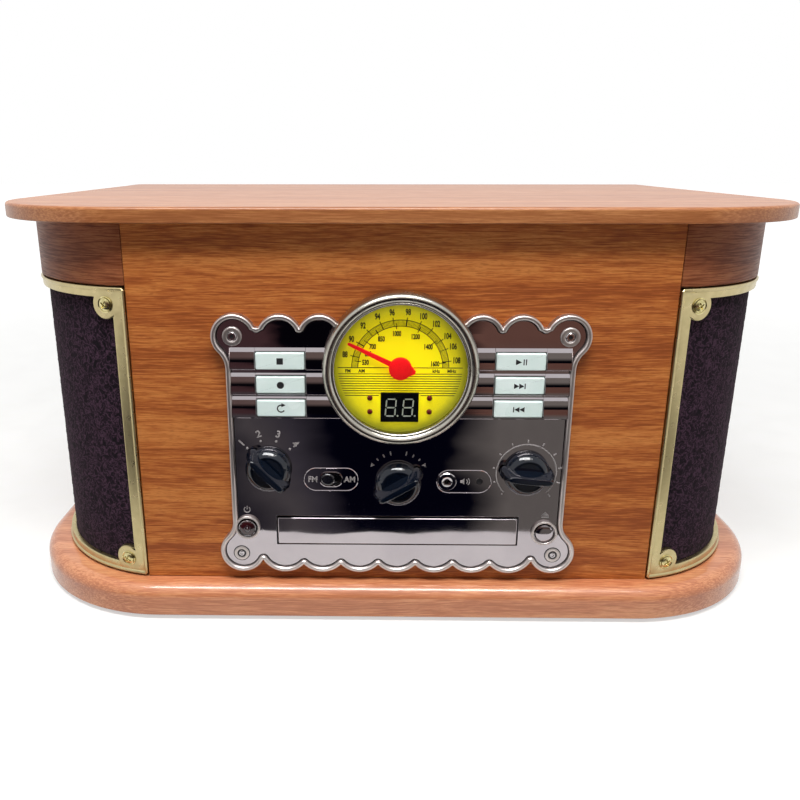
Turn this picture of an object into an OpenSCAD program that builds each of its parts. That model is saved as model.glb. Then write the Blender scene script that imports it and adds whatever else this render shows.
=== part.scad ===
// Stereo music centre: wooden cabinet with record deck, radio dial, compact disc tray,
// cassette slot and two speakers behind curved grilles.
// Millimetres. Z is up, the control panel faces -Y, the origin is under the middle of the cabinet.

/* [Cabinet] */
// Overall width, over the plinth and the lid
overall_w = 500; // [496:1:504]
// Overall depth, from the knobs' grips to the back edges of the plinth and the lid
overall_d = 389; // [389:1:392]
// Overall height, feet to lid
overall_h = 254; // [252:1:256]
// Height of the rubber feet
foot_h = 3; // [3:1:4]
// Thickness of the plinth board
plinth_t = 20; // [19:1:22]
// Radius of the rounding along the plinth's top edge
plinth_edge = 8.5; // [6:0.1:9]
// Radius of the plinth's front corners
plinth_corner = 100; // [96:1:104]
// Thickness of the lid board
lid_t = 9; // [8:1:10]
// Radius of the lid's front corners
lid_corner = 93; // [88:1:98]
// How far the lid's front edge stands behind the plinth's front edge
lid_setback = 5; // [3:1:7]
// Thickness of the cabinet boards
board_t = 12; // [11:1:13]

/* [Front] */
// Distance of the front board's face behind the plinth's front edge
front_setback = 14; // [13.5:0.1:14.5]
// Half width of the front board, up to the speaker corners
seam_x = 158.4; // [158:0.1:159]
// Radius of the speaker corners
arc_r = 94.3; // [94:0.1:95]
// Height of the top edge of the speaker grille frames
grille_top = 208.6; // [206:0.1:209]
// Thickness of the control panel plate
plate_t = 3; // [2.5:0.5:3.5]
// Height of the control panel's raised rim
rim_h = 2.5; // [2:0.1:3]
// Width of the control panel's raised rim
rim_w = 3; // [2.5:0.1:3.5]

/* [Dial] */
// Height of the dial's centre
dial_z = 163; // [162:0.5:164]
// Outer diameter of the dial bezel
bezel_d = 90.5; // [88:0.5:91]
// Diameter of the dial that shows inside the bezel
dial_d = 76; // [74:0.5:78]
// How far the bezel stands out from the panel
bezel_h = 12; // [11:0.5:13]

/* [Record deck] */
// Height of the deck's top face
deck_z = 199; // [198:1:200]
// Diameter of the platter
platter_d = 200; // [190:1:210]
// Diameter of the spindle above the mat
spindle_d = 7.2; // [7:0.1:7.3]
// Distance from the tonearm pivot to the stylus
arm_len = 212; // [208:1:214]

/* [Disc tray] */
// Width of the tray's front
tray_front_w = 148; // [146:1:150]
// Height of the tray's front
tray_front_h = 17.5; // [17:0.5:18]
// Height of the middle of the tray's front
tray_z = 57.7; // [57:0.1:59]

/* [Hidden] */
$fn = 64;

// Running gap round a shaft, and the gap round pieces that slide
shaft_gap = 0.04;
slide_gap = 0.35;

// Cabinet
half_w = overall_w / 2;
half_d = overall_d / 2;
knob_overhang = 4.5;
plinth_y = -half_d + knob_overhang;
plinth_top = foot_h + plinth_t;
lid_z = overall_h - lid_t;
body_top = lid_z - 0.4;
front_y = plinth_y + front_setback;
panel_back_y = front_y + board_t;
body_back_y = half_d - 8.5;
seam_angle = 79.24;
arc_x = seam_x - arc_r * cos(seam_angle);
arc_y = front_y - 0.6 + arc_r * sin(seam_angle);
side_x = arc_x + arc_r;
inner_x = side_x - board_t;
inner_back_y = body_back_y - board_t;
inner_r = arc_r - board_t;
cloth_r = 91;
cloth_t = 1.2;
rail_r = cloth_r - cloth_t;

// Control panel: half width, the lobes at its corners and its scallops
field_y = front_y - plate_t;
waist_x = 102;
lobe_x = 96.5;
top_lobe_z = 181;
top_lobe_r = 13.3;
low_lobe_z = 43.6;
low_lobe_r = 14;
flare_r = 14;
curve_bite = 0.04;
scallop_pitch = 23.35;
top_scallop_r = 13;
low_scallop_r = 16;
low_scallop_z = 45.4;
rib_zs = [167.8, 152.6, 138.2];
rib_w = 13.1;
rib_h = 2.3;
rib_r = (rib_w * rib_w / 4 + rib_h * rib_h) / (2 * rib_h);

// Keys
key_w = 28.5;
key_h = 10;
key_x = 69.85;
key_zs = [166.8, 152.4, 138.1];
key_face_y = field_y - 3;
key_back_y = field_y + 4.6;
key_stem_y = -157.3;
board_y = -150;

// Control places on the panel
selector_at = [-78.7, 98.9];
tuning_at = [0, 90];
volume_at = [77.6, 97];
band_at = [-40.8, 92];
aux_at = [40.1, 91];
power_at = [-93, 59.8];
open_at = [91, 57.2];
pill_w = 33.5;
pill_h = 15.3;
knob_shaft_r = 3;

// Record deck
platter_at = [-60, 5];
platter_z = deck_z + 3;
platter_top = platter_z + 12;
mat_top = platter_top + 2;
sub_r = 60;
pulley_r = 5;
pulley_dist = 80;
pulley_dir = 135;
belt_t = 0.8;
belt_r = sub_r + 0.3;
belt_end_r = pulley_r + 0.3;
belt_z = platter_z + 4.5;
arm_at = [118, 100];
arm_z = 230;
arm_rest_y = -20;

// Disc player
tray_top = tray_z - 3.2;
tray_t = 5;
tray_half_w = 66;
tray_back_y = -30;
disc_y = -100;

// Cassette slot
cassette_y = [-41, 65];
cassette_z = [112, 128];

// Lid hinge and stay
hinge_y = 191;
hinge_z = lid_z - 4;
hinge_xs = [-150, 150];
stay_at = [214, 120, 234];
stay_len = 110;

// Draws its children on a face that looks to the front: x and z as given, extruded forwards from y
module on_front(x, z, y) {
  translate([x, y, z]) rotate([90, 0, 0]) children();
}

// Draws its children on the right, or their mirror image on the left
module on_side(side) {
  if (side > 0) children();
  else mirror([1, 0, 0]) children();
}

// Part of the ring round the right speaker corner, its angles counted from the side to the front
module corner_ring(r0, r1, z0, z1, a0, a1) {
  translate([arc_x, arc_y, 0]) rotate([0, 0, -a1]) rotate_extrude(angle = a1 - a0)
    translate([r0, z0]) square([r1 - r0, z1 - z0]);
}

// Outline of a board with two round front corners
module board_outline(hw, yf, yb, rc) {
  translate([-hw, yf + rc]) square([2 * hw, yb - yf - rc]);
  translate([-hw + rc, yf]) square([2 * (hw - rc), rc + 1]);
  for (side = [-1, 1]) translate([side * (hw - rc), yf + rc]) circle(rc);
}

// Section of a board's edge, rounded at the top
module edge_section(er, t) {
  square([er, t - er]);
  translate([0, t - er]) intersection() {
    circle(er);
    square(er);
  }
}

// Cuts its children off where the front board's right end begins
module beside_front_board(gap) difference() {
  children();
  translate([seam_x - 30, front_y - 20, 0]) cube([30 + gap, board_t + 20.2, overall_h]);
}

// Board with two round front corners and a rounded top edge all round
module rounded_board(hw, yf, yb, rc, t, er) {
  linear_extrude(t) board_outline(hw - er, yf + er, yb - er, rc - er);
  translate([hw - rc, yf + er, 0]) rotate([90, 0, -90]) linear_extrude(2 * (hw - rc)) edge_section(er, t);
  translate([-(hw - er), yb - er, 0]) rotate([90, 0, 90]) linear_extrude(2 * (hw - er)) edge_section(er, t);
  for (side = [-1, 1]) on_side(side) {
    translate([hw - er, yb - er, 0]) rotate([90, 0, 0])
      linear_extrude(yb - er - yf - rc) edge_section(er, t);
    translate([hw - er, yb - er, 0]) rotate_extrude(angle = 90) edge_section(er, t);
    translate([hw - rc, yf + rc, 0]) rotate([0, 0, -90]) rotate_extrude(angle = 90)
      translate([rc - er, 0]) edge_section(er, t);
  }
}

// Plate in the X and Z directions, centred on x and z
module front_block(x, z, w, h, y0, y1) {
  translate([x - w / 2, y0, z - h / 2]) cube([w, y1 - y0, h]);
}

// Rod along Y
module rod_y(x, z, r, y0, y1) {
  translate([x, y0, z]) rotate([-90, 0, 0]) cylinder(r = r, h = y1 - y0);
}

// Rod along X
module rod_x(y, z, r, x0, x1) {
  translate([x0, y, z]) rotate([0, 90, 0]) cylinder(r = r, h = x1 - x0);
}

// Cabinet

module plinth() color("#b9714f")
  translate([0, 0, foot_h]) rounded_board(half_w, plinth_y, half_d, plinth_corner, plinth_t, plinth_edge);

module feet() color("#202020")
  for (x = [-190, 190], y = [-140, 160]) translate([x, y, 0]) cylinder(r = 14, h = foot_h);

module front_panel() color("#a9652f") difference() {
  front_block(0, (plinth_top + body_top) / 2, 2 * seam_x, body_top - plinth_top, front_y, panel_back_y);
  front_block(0, tray_z, tray_front_w + 2, tray_front_h + 2, front_y - 1, panel_back_y + 1);
  for (side = [-1, 1])
    front_block(side * key_x, key_zs[1], key_w + 4, key_zs[0] - key_zs[2] + key_h + 4, front_y - 1,
      panel_back_y + 1);
  for (p = [selector_at, tuning_at, volume_at, [0, dial_z]])
    rod_y(p[0], p[1], 5, front_y - 1, panel_back_y + 1);
  for (p = [power_at, open_at]) rod_y(p[0], p[1], 8, front_y - 1, panel_back_y + 1);
  rod_y(aux_at[0] - 10.3, aux_at[1], 5.2, front_y - 1, panel_back_y + 1);
  front_block(band_at[0], band_at[1], 26, 12, front_y - 1, panel_back_y + 1);
  for (p = panel_screw_places()) rod_y(p[0], p[1], 1.5, front_y - 1, panel_back_y - 2);
}

module side_panel()
  translate([inner_x, arc_y, plinth_top]) cube([board_t, body_back_y - arc_y, body_top - plinth_top]);

module left_side_panel() color("#a9652f") mirror([1, 0, 0]) side_panel();

module right_side_panel() color("#a9652f") difference() {
  side_panel();
  translate([inner_x - 1, cassette_y[0], cassette_z[0]])
    cube([board_t + 2, cassette_y[1] - cassette_y[0], cassette_z[1] - cassette_z[0]]);
  translate([inner_x - 1, 78, 114]) cube([board_t + 2, 16, 10]);
  rod_x(stay_at[1], stay_at[2], 2 + shaft_gap, inner_x - 1, inner_x + 8);
}

module corner_cap() beside_front_board(0)
  corner_ring(inner_r, arc_r, grille_top + 0.6, body_top, 0, seam_angle);

module left_corner_cap() color("#a9652f") mirror([1, 0, 0]) corner_cap();

module right_corner_cap() color("#a9652f") corner_cap();

module back_panel() color("#6b5a4a") difference() {
  front_block(0, (plinth_top + body_top) / 2, 2 * inner_x, body_top - plinth_top, inner_back_y, body_back_y);
  for (x = [-40 : 16 : 40]) front_block(x, 130, 5, 60, inner_back_y - 1, body_back_y + 1);
  for (x = socket_xs) rod_y(x, socket_z, 5.5, inner_back_y - 1, body_back_y + 1);
  rod_y(gland_x, socket_z, 6.5, inner_back_y - 1, body_back_y + 1);
}

module turntable_deck() color("#1c1b1d") difference() {
  union() {
    translate([0, 0, deck_z - 6]) linear_extrude(6) intersection() {
      board_outline(inner_x - 0.2, arc_y - inner_r + 0.3, inner_back_y - 0.3, inner_r - 0.3);
      translate([-half_w, panel_back_y + 0.2]) square([overall_w, overall_d]);
    }
    translate([platter_at[0], platter_at[1], deck_z - 24]) cylinder(r = 12, h = 19);
    translate([arm_at[0], arm_rest_y, deck_z - 1]) cylinder(r = 4, h = arm_z - 6 - deck_z + 1);
    translate([arm_at[0] - 8, arm_rest_y - 4, arm_z - 9]) cube([14.5, 8, 3]);
    translate([arm_at[0] + 4.6, arm_rest_y - 4, arm_z - 9]) cube([2.4, 8, 12]);
  }
  translate([platter_at[0], platter_at[1], deck_z - 25]) cylinder(r = 4 + shaft_gap, h = 30);
  translate([pulley_place()[0], pulley_place()[1], deck_z - 8]) cylinder(r = 6, h = 10);
  translate([183, -52, deck_z - 8]) cube([4.6, 26, 10]);
}

// Speaker corners

baffle_dist = 62;
baffle_w = 104;
speaker_z = 112;
screw_r = 1.7;
lug_r = 8.8;
lug_angle = seam_angle - 8.2;
lug_zs = [plinth_top + 11, grille_top - 10.5];

// Draws its children on the diagonal of the right corner, at a distance from its centre, looking out
module on_diagonal(dist, z) {
  translate([arc_x, arc_y, z]) rotate([0, 0, -45]) translate([dist, 0, 0]) rotate([0, 90, 0]) children();
}

// Rod that points away from the centre of the right corner
module corner_rod(angle, z, r, r0, r1) {
  translate([arc_x, arc_y, z]) rotate([0, 0, -angle]) translate([r0, 0, 0]) rotate([0, 90, 0])
    cylinder(r = r, h = r1 - r0);
}

module grille_screw_holes() {
  for (z = lug_zs) corner_rod(lug_angle, z, screw_r, rail_r - 6, arc_r + 4);
}

module speaker_baffle() difference() {
  beside_front_board(0.1) union() {
    translate([arc_x, arc_y, plinth_top + 1]) rotate([0, 0, -45])
      translate([baffle_dist - 5, -baffle_w / 2, 0]) cube([10, baffle_w, deck_z - 6.3 - plinth_top - 1]);
    difference() {
      corner_ring(inner_r, rail_r, plinth_top, grille_top + 0.3, 0.3, seam_angle);
      corner_ring(inner_r - 1, rail_r + 1, plinth_top + 18, deck_z - 10, 5, seam_angle - 13);
    }
  }
  on_diagonal(baffle_dist - 10, speaker_z) cylinder(r = 33, h = 20);
  grille_screw_holes();
}

module speaker_baffles() color("#8a6f4f")
  for (side = [-1, 1]) on_side(side) speaker_baffle();

// Curved frame of a grille: a ring with a window, whose corners are filled by the screws' lugs
module grille_frame() beside_front_board(0.3) difference() {
  corner_ring(cloth_r, arc_r + 0.7, plinth_top + 1, grille_top, 0.4, seam_angle);
  difference() {
    corner_ring(cloth_r - 1, arc_r + 2, plinth_top + 8, grille_top - 6.5, 5.5, seam_angle - 5.4);
    for (z = lug_zs) corner_rod(lug_angle, z, lug_r, cloth_r - 5, arc_r + 5);
  }
  grille_screw_holes();
}

module left_grille_frame() color("#b3a873") mirror([1, 0, 0]) grille_frame();

module right_grille_frame() color("#b3a873") grille_frame();

module grille_cloth() difference() {
  beside_front_board(0.3) corner_ring(rail_r, cloth_r, plinth_top + 2, grille_top - 0.5, 0.6, seam_angle);
  grille_screw_holes();
}

module left_grille_cloth() color("#2f2227") mirror([1, 0, 0]) grille_cloth();

module right_grille_cloth() color("#2f2227") grille_cloth();

module front_screws() color("#d8cfa0") {
  for (side = [-1, 1], z = lug_zs) on_side(side) {
    corner_rod(lug_angle, z, screw_r, rail_r - 5, arc_r + 0.8);
    corner_rod(lug_angle, z, 3.6, arc_r + 0.7, arc_r + 2);
  }
  for (p = panel_screw_places()) {
    rod_y(p[0], p[1], 1.5, field_y, panel_back_y - 3);
    rod_y(p[0], p[1], 2.7, field_y - 1.6, field_y);
  }
}

// Speaker: flange, cone, basket and magnet, looking out along the corner's diagonal
module speaker() {
  on_diagonal(baffle_dist - 7, speaker_z) difference() {
    cylinder(r = 38.5, h = 2);
    translate([0, 0, -1]) cylinder(r = 32, h = 4);
  }
  on_diagonal(baffle_dist - 27, speaker_z) difference() {
    cylinder(r1 = 22, r2 = 34, h = 20);
    translate([0, 0, 2]) cylinder(r1 = 20, r2 = 32, h = 18.01);
  }
  on_diagonal(baffle_dist - 42, speaker_z) cylinder(r = 24, h = 15);
  on_diagonal(baffle_dist - 20, speaker_z) difference() {
    cylinder(r1 = 10, r2 = 28, h = 13);
    translate([0, 0, 1]) cylinder(r1 = 9, r2 = 27, h = 12.01);
  }
  on_diagonal(baffle_dist - 27, speaker_z) cylinder(r = 9.5, h = 8);
  on_diagonal(baffle_dist - 8, speaker_z) difference() {
    cylinder(r = 32.2, h = 1);
    translate([0, 0, -1]) cylinder(r = 26.5, h = 3);
  }
}

module speakers() color("#303030")
  for (side = [-1, 1]) on_side(side) speaker();

// Control panel

function panel_screw_places() = [
  for (side = [-1, 1]) each [[side * 97.4, top_lobe_z], [side * 97.5, low_lobe_z - 2]]
];

// Concave flare between the straight side and a lobe, on the right, drawn in from the edge by inset.
// Its curve crosses the straight and the lobe at a small angle.
module side_flare(lobe_z, lobe_r, dir, inset) {
  span = lobe_r + flare_r - curve_bite;
  dx = waist_x + flare_r - curve_bite - lobe_x;
  dz = sqrt(span * span - dx * dx);
  flare_z = lobe_z - dir * dz;
  touch = [lobe_x + (lobe_r - inset) * dx / span, lobe_z - dir * (lobe_r - inset) * dz / span];
  difference() {
    polygon([[lobe_x, flare_z], [waist_x - inset, flare_z], touch, [lobe_x, lobe_z]]);
    translate([waist_x + flare_r - curve_bite, flare_z]) circle(flare_r + inset);
  }
}

// One half of the panel's outline, drawn in from the edge by inset
module half_outline(inset) {
  low_cusp = low_scallop_z - sqrt(pow(low_scallop_r, 2) - pow(scallop_pitch / 2, 2));
  top_cusp = top_lobe_z + sqrt(pow(top_scallop_r, 2) - pow(scallop_pitch / 2, 2));
  translate([-1, low_cusp + inset + 0.3]) square([lobe_x + 1, top_cusp - low_cusp - 2 * inset - 0.6]);
  translate([0, low_lobe_z + 4]) square([waist_x - inset, top_lobe_z - low_lobe_z - 8]);
  for (i = [0 : 3]) translate([i * scallop_pitch, low_scallop_z]) circle(low_scallop_r - inset);
  for (i = [2 : 3]) translate([i * scallop_pitch, top_lobe_z]) circle(top_scallop_r - inset);
  translate([lobe_x, top_lobe_z]) circle(top_lobe_r - inset);
  translate([lobe_x, low_lobe_z]) circle(low_lobe_r - inset);
  side_flare(top_lobe_z, top_lobe_r, 1, inset);
  side_flare(low_lobe_z, low_lobe_r, -1, inset);
}

module panel_outline(inset) {
  for (side = [0, 1]) mirror([side, 0]) half_outline(inset);
}

// Outline with two round ends
module pill(w, h) {
  square([w - h, h], center = true);
  for (side = [-1, 1]) translate([side * (w - h) / 2, 0]) circle(h / 2);
}

module pill_ring() linear_extrude(0.9) difference() {
  pill(pill_w, pill_h);
  pill(pill_w - 1.6, pill_h - 1.6);
}

module round_ring(r0, r1, h) linear_extrude(h) difference() {
  circle(r1);
  circle(r0);
}

// Half-round bars across the upper panel, on both sides of the dial
module ribs() difference() {
  for (z = rib_zs) intersection() {
    rod_x(field_y + rib_r - rib_h, z, rib_r, -100, 100);
    front_block(0, z, 200, rib_w + 1, field_y - rib_h - 1, field_y + 0.5);
  }
  rod_y(0, dial_z, bezel_d / 2 + 0.1, field_y - 10, field_y + 10);
}

module control_panel() color("#1d1820") difference() {
  union() {
    difference() {
      on_front(0, 0, front_y) linear_extrude(plate_t + rim_h) panel_outline(0);
      on_front(0, 0, field_y) linear_extrude(rim_h + 1) panel_outline(rim_w);
    }
    ribs();
    for (p = [band_at, aux_at]) on_front(p[0], p[1], field_y) pill_ring();
    on_front(power_at[0], power_at[1], field_y) round_ring(6.4, 7.7, 1.6);
    on_front(open_at[0], open_at[1], field_y) round_ring(6.6, 8, 1.6);
    for (side = [-1, 1]) on_front(side * 97.4, top_lobe_z, field_y) round_ring(3, 5, 1.4);
    on_front(volume_at[0], volume_at[1], field_y) linear_extrude(0.4) difference() {
      circle(18.6);
      circle(17.9);
      polygon([[0, 0], [30, -30], [0, -60], [-30, -30]]);
    }
  }
  on_front(0, 0, field_y + 1.4) {
    for (side = [-1, 1]) translate([side * 97.5, low_lobe_z - 2, 0]) round_ring(3, 5, 5);
  }
  rod_y(0, dial_z, bezel_d / 2 + 0.1, field_y - 10, field_y);
  rod_y(0, dial_z, 4, front_y - 10, front_y + 1);
  for (p = [selector_at, tuning_at, volume_at])
    rod_y(p[0], p[1], knob_shaft_r + 0.3, front_y - 10, front_y + 1);
  for (side = [-1, 1], z = key_zs)
    front_block(side * key_x, z, key_w + 2 * slide_gap, key_h + 2 * slide_gap, field_y - 5, front_y + 1);
  front_block(0, tray_z, tray_front_w + 1.5, tray_front_h + 1.5, field_y - 5, front_y + 1);
  on_front(band_at[0], band_at[1], front_y + 1) linear_extrude(10) pill(13, 8.5);
  rod_y(aux_at[0] - 10.3, aux_at[1], 4.05, front_y - 10, front_y + 1);
  rod_y(aux_at[0] + 9.4, aux_at[1], 2, front_y - 10, front_y + 1);
  for (p = [power_at, open_at]) rod_y(p[0], p[1], 5.6 + slide_gap, front_y - 10, front_y + 1);
  for (p = panel_screw_places()) rod_y(p[0], p[1], 1.5, front_y - 10, front_y + 1);
  front_block(0, 139, 22.4, 18.4, field_y - 5, front_y + 1);
  for (p = led_places()) rod_y(p[0], p[1], 1.7, field_y - 5, front_y + 1);
}

// Dial

lens_y = field_y - bezel_h + 2.6;

module dial_bezel() color("#c9ccd0")
  on_front(0, dial_z, field_y) rotate_extrude() polygon([
    [bezel_d / 2, 0], [bezel_d / 2, bezel_h - 3], [bezel_d / 2 - 1, bezel_h - 0.8],
    [bezel_d / 2 - 2.6, bezel_h], [bezel_d / 2 - 4, bezel_h - 0.3], [dial_d / 2 + 0.6, bezel_h - 1.4],
    [dial_d / 2, bezel_h - 2], [dial_d / 2, bezel_h - 2.6], [dial_d / 2 + 1.5, bezel_h - 2.6],
    [dial_d / 2 + 1.5, 0]
  ]);

module dial_lens() color([0.9, 0.95, 1, 0.3])
  rod_y(0, dial_z, dial_d / 2 + 1.4, lens_y, lens_y + 1.5);

module dial_plate() color("#f2e51a") difference() {
  rod_y(0, dial_z, dial_d / 2 + 1.4, field_y - 2, field_y);
  rod_y(0, dial_z, 2, field_y - 3, field_y + 1);
  front_block(0, 139, 22.4, 18.4, field_y - 3, field_y + 1);
  for (p = led_places()) rod_y(p[0], p[1], 1.7, field_y - 3, field_y + 1);
}

function led_places() = [for (x = [-17.5, 17.5], z = [136.2, 144.6]) [x, z]];

// Display window and its four lamps
module display_panel() {
  color("#0c0c10") front_block(0, 139, 22, 18, field_y - 2.4, front_y);
  color("#5a1010") for (p = led_places()) rod_y(p[0], p[1], 1.6, field_y - 2.8, front_y);
}

// Dial pointer: needle at rest to the upper left, hub, shaft and the drum that the tuning cord turns
needle_angle = 154;
needle_y = field_y - 4;
pointer_drum_r = 16;
tuning_drum_r = 8;
drum_front_y = panel_back_y + 1.5;
drum_w = 5.5;

module dial_pointer() {
  color("#e8101a") translate([0, needle_y, dial_z]) rotate([0, -needle_angle, 0])
    translate([0, -0.9, -0.7]) cube([34, 0.9, 1.4]);
  color("#c82020") rod_y(0, dial_z, 6.7, needle_y - 2.2, needle_y + 0.6);
  color("#888888") rod_y(0, dial_z, 1.5, needle_y + 0.5, board_y + 1);
  color("#e0e0e0") rod_y(0, dial_z, pointer_drum_r, drum_front_y, drum_front_y + drum_w);
}

// Knobs

// Knob with a domed skirt and a long lens-shaped grip; the grip's sharp end points along the angle
module knob(at, angle) {
  on_front(at[0], at[1], field_y - 0.5) {
    rotate_extrude() polygon([[0, 0], [13.7, 0], [13.9, 1.6], [13.3, 3.4], [11.6, 5.2], [9, 6.2], [0, 6.6]]);
    rotate([0, 0, angle]) translate([0, 0, 1]) linear_extrude(14) intersection() {
      translate([0, -27.6]) circle(33);
      translate([0, 27.6]) circle(33);
      translate([-16.6, -10]) square([40, 20]);
    }
  }
  rod_y(at[0], at[1], knob_shaft_r, field_y - 1, board_y + 0.5);
}

module selector_knob() color("#1a2233") knob(selector_at, 134);

module tuning_knob() color("#1a2233") {
  knob(tuning_at, 31);
  rod_y(tuning_at[0], tuning_at[1], tuning_drum_r, drum_front_y, drum_front_y + drum_w);
}

module volume_knob() color("#1a2233") knob(volume_at, 175);

// Board behind the panel, with the rotary switch, the tuner, the volume control and the key switches
module main_board() color("#2c5a34") difference() {
  union() {
    front_block(0, 136, 196, 104, board_y, board_y + 1.6);
    for (p = [selector_at, volume_at]) front_block(p[0], p[1], 22, 22, board_y - 6, board_y);
    front_block(tuning_at[0], tuning_at[1], 14, 12, board_y - 6, board_y);
    front_block(0, dial_z, 26, 26, board_y - 6, board_y);
    for (side = [-1, 1], z = key_zs) front_block(side * key_x, z, 8, 6, board_y - 6, board_y);
    front_block(-40.8, 92, 24, 8, board_y - 6, board_y);
  }
  for (p = [selector_at, tuning_at, volume_at])
    rod_y(p[0], p[1], knob_shaft_r + shaft_gap, board_y - 7, board_y + 2);
  rod_y(0, dial_z, 1.5 + shaft_gap, board_y - 7, board_y + 2);
}

// Keys and switches

// Key with its rectangular cap, a flange behind the plate and a stem that meets its switch
module key(side, z) {
  front_block(side * key_x, z, key_w, key_h, key_face_y, key_back_y);
  front_block(side * key_x, z, key_w + 2.4, key_h + 2.2, front_y + 0.3, key_back_y);
  front_block(side * key_x, z, 6, 4, key_back_y, key_stem_y);
}

module stop_button() color("#e8f8f6") key(-1, key_zs[0]);

module record_button() color("#e8f8f6") key(-1, key_zs[1]);

module repeat_button() color("#e8f8f6") key(-1, key_zs[2]);

module play_button() color("#e8f8f6") key(1, key_zs[0]);

module next_button() color("#e8f8f6") key(1, key_zs[1]);

module previous_button() color("#e8f8f6") key(1, key_zs[2]);

// Round button with a flange behind the plate
module round_button(at, r, proud) {
  rod_y(at[0], at[1], r, field_y - proud + 1, front_y + 8);
  on_front(at[0], at[1], field_y - proud + 1) rotate_extrude() polygon([
    [0, 0], [r, 0], [r - 0.5, 0.5], [r - 1.6, 0.85], [0, 1]
  ]);
  rod_y(at[0], at[1], 7, front_y + 0.3, front_y + 3);
}

module power_button() color("#4a1216") round_button(power_at, 5, 3.4);

module open_button() color("#2a2430") round_button(open_at, 5.5, 2.4);

module band_switch() color("#101014") {
  rod_y(band_at[0] - 2, band_at[1], 3.4, field_y - 1.2, front_y + 0.3);
  front_block(band_at[0] - 2, band_at[1], 19, 10.6, front_y + 0.3, front_y + 2);
  front_block(band_at[0] - 2, band_at[1], 4, 3, front_y + 1.9, board_y - 6.4);
}

// Jack socket: collar in front of the plate, barrel behind it and the bore for the plug
module aux_jack() color("#1a1a1a") difference() {
  union() {
    rod_y(aux_at[0] - 10.3, aux_at[1], 5.7, field_y - 1, field_y);
    rod_y(aux_at[0] - 10.3, aux_at[1], 4, field_y, field_y + 18);
  }
  rod_y(aux_at[0] - 10.3, aux_at[1], 1.85, field_y - 2, field_y + 15);
}

// Disc player

module cd_tray() color("#26262a") difference() {
  translate([-tray_half_w, front_y + 1, tray_top - tray_t])
    cube([2 * tray_half_w, tray_back_y - front_y - 1, tray_t]);
  translate([0, disc_y, tray_top - 2.5]) cylinder(r = 60.6, h = 5);
  translate([0, disc_y, tray_top - tray_t - 1]) cylinder(r = 16, h = 10);
  translate([-16, disc_y, tray_top - tray_t - 1]) cube([32, 100, 10]);
}

module cd_tray_front() color("#3a3338") {
  front_block(0, tray_z, tray_front_w, tray_front_h, field_y - 1.2, front_y + 1);
}

module cd_chassis() color("#8d9094") difference() {
  union() {
    translate([-74, panel_back_y, tray_top - tray_t - 18]) cube([148, 138, 2]);
    for (side = [-1, 1]) on_side(side) {
      translate([tray_half_w + 4, panel_back_y, tray_top - tray_t - 18]) cube([4, 138, 34]);
      translate([tray_half_w - 2, panel_back_y + 4, tray_top - tray_t - 3]) cube([8, 134, 2.6]);
    }
    translate([-74, disc_y - 9, tray_top - tray_t + 16]) cube([148, 18, 2]);
    translate([0, disc_y, tray_top - tray_t - 17]) cylinder(r = 12, h = 11);
    translate([-14, disc_y + 22, tray_top - tray_t - 17]) cube([28, 24, 14]);
    for (side = [-1, 1], y = [-150, -45]) translate([side * 60, y, plinth_top])
      cylinder(r = 4, h = tray_top - tray_t - 17 - plinth_top);
  }
  translate([0, disc_y, tray_top - tray_t - 20]) cylinder(r = 1.5 + shaft_gap, h = 20);
}

module cd_spindle() color("#c8c8c8") {
  translate([0, disc_y, tray_top - tray_t - 17]) cylinder(r = 1.5, h = 14);
  translate([0, disc_y, tray_top - tray_t - 5.5]) cylinder(r = 13, h = 4.5);
  translate([0, disc_y, tray_top - tray_t - 1.5]) cylinder(r = 7.4, h = 5);
  translate([0, disc_y, tray_top - tray_t + 3.5]) cylinder(r1 = 7.4, r2 = 4, h = 2);
}

module transformer() color("#3b3b3b") {
  translate([-195, 95, plinth_top]) cube([60, 50, 4]);
  translate([-190, 98, plinth_top + 4]) cube([50, 44, 40]);
  translate([-183, 92, plinth_top + 10]) cube([36, 56, 28]);
}

// Lid

module lid() color("#a05a34") translate([0, 0, lid_z])
  rounded_board(half_w, plinth_y + lid_setback, half_d, lid_corner, lid_t, 2.5);

// Knuckle of a hinge between two places along X
module knuckle(x0, x1) difference() {
  rod_x(hinge_y, hinge_z, 3.5, x0, x1);
  rod_x(hinge_y, hinge_z, 1.5 + shaft_gap, x0 - 1, x1 + 1);
}

module hinge_plates() color("#b8a468") for (x = hinge_xs) {
  for (dx = [-20, 8]) {
    knuckle(x + dx, x + dx + 12);
    translate([x + dx, body_back_y, hinge_z - 1.8]) cube([12, 2, 1.2]);
  }
  translate([x - 20, body_back_y, hinge_z - 28]) cube([40, 1.2, 27]);
}

// Moving leaves, with the pins that turn in the fixed knuckles
module hinge_leaves() color("#b8a468") for (x = hinge_xs) {
  rod_x(hinge_y, hinge_z, 1.5, x - 19.5, x + 19.5);
  rod_x(hinge_y, hinge_z, 3.5, x - 7.6, x + 7.6);
  translate([x - 7.6, hinge_y - 2.4, hinge_z + 1]) cube([15.2, 4.8, lid_z - hinge_z - 1]);
}

// Stay that props the lid, folded flat at rest
module lid_stay() color("#b8a468") {
  rod_x(stay_at[1], stay_at[2], 2, stay_at[0] - 4, inner_x + 6);
  rod_x(stay_at[1], stay_at[2], 4.5, stay_at[0] - 3.2, stay_at[0] + 3.2);
  rod_y(stay_at[0], stay_at[2], 2.5, stay_at[1] - stay_len, stay_at[1]);
}

// Record deck

function pulley_place() = platter_at + pulley_dist * [cos(pulley_dir), sin(pulley_dir)];

module at_platter(z) translate([platter_at[0], platter_at[1], z]) children();

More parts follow.
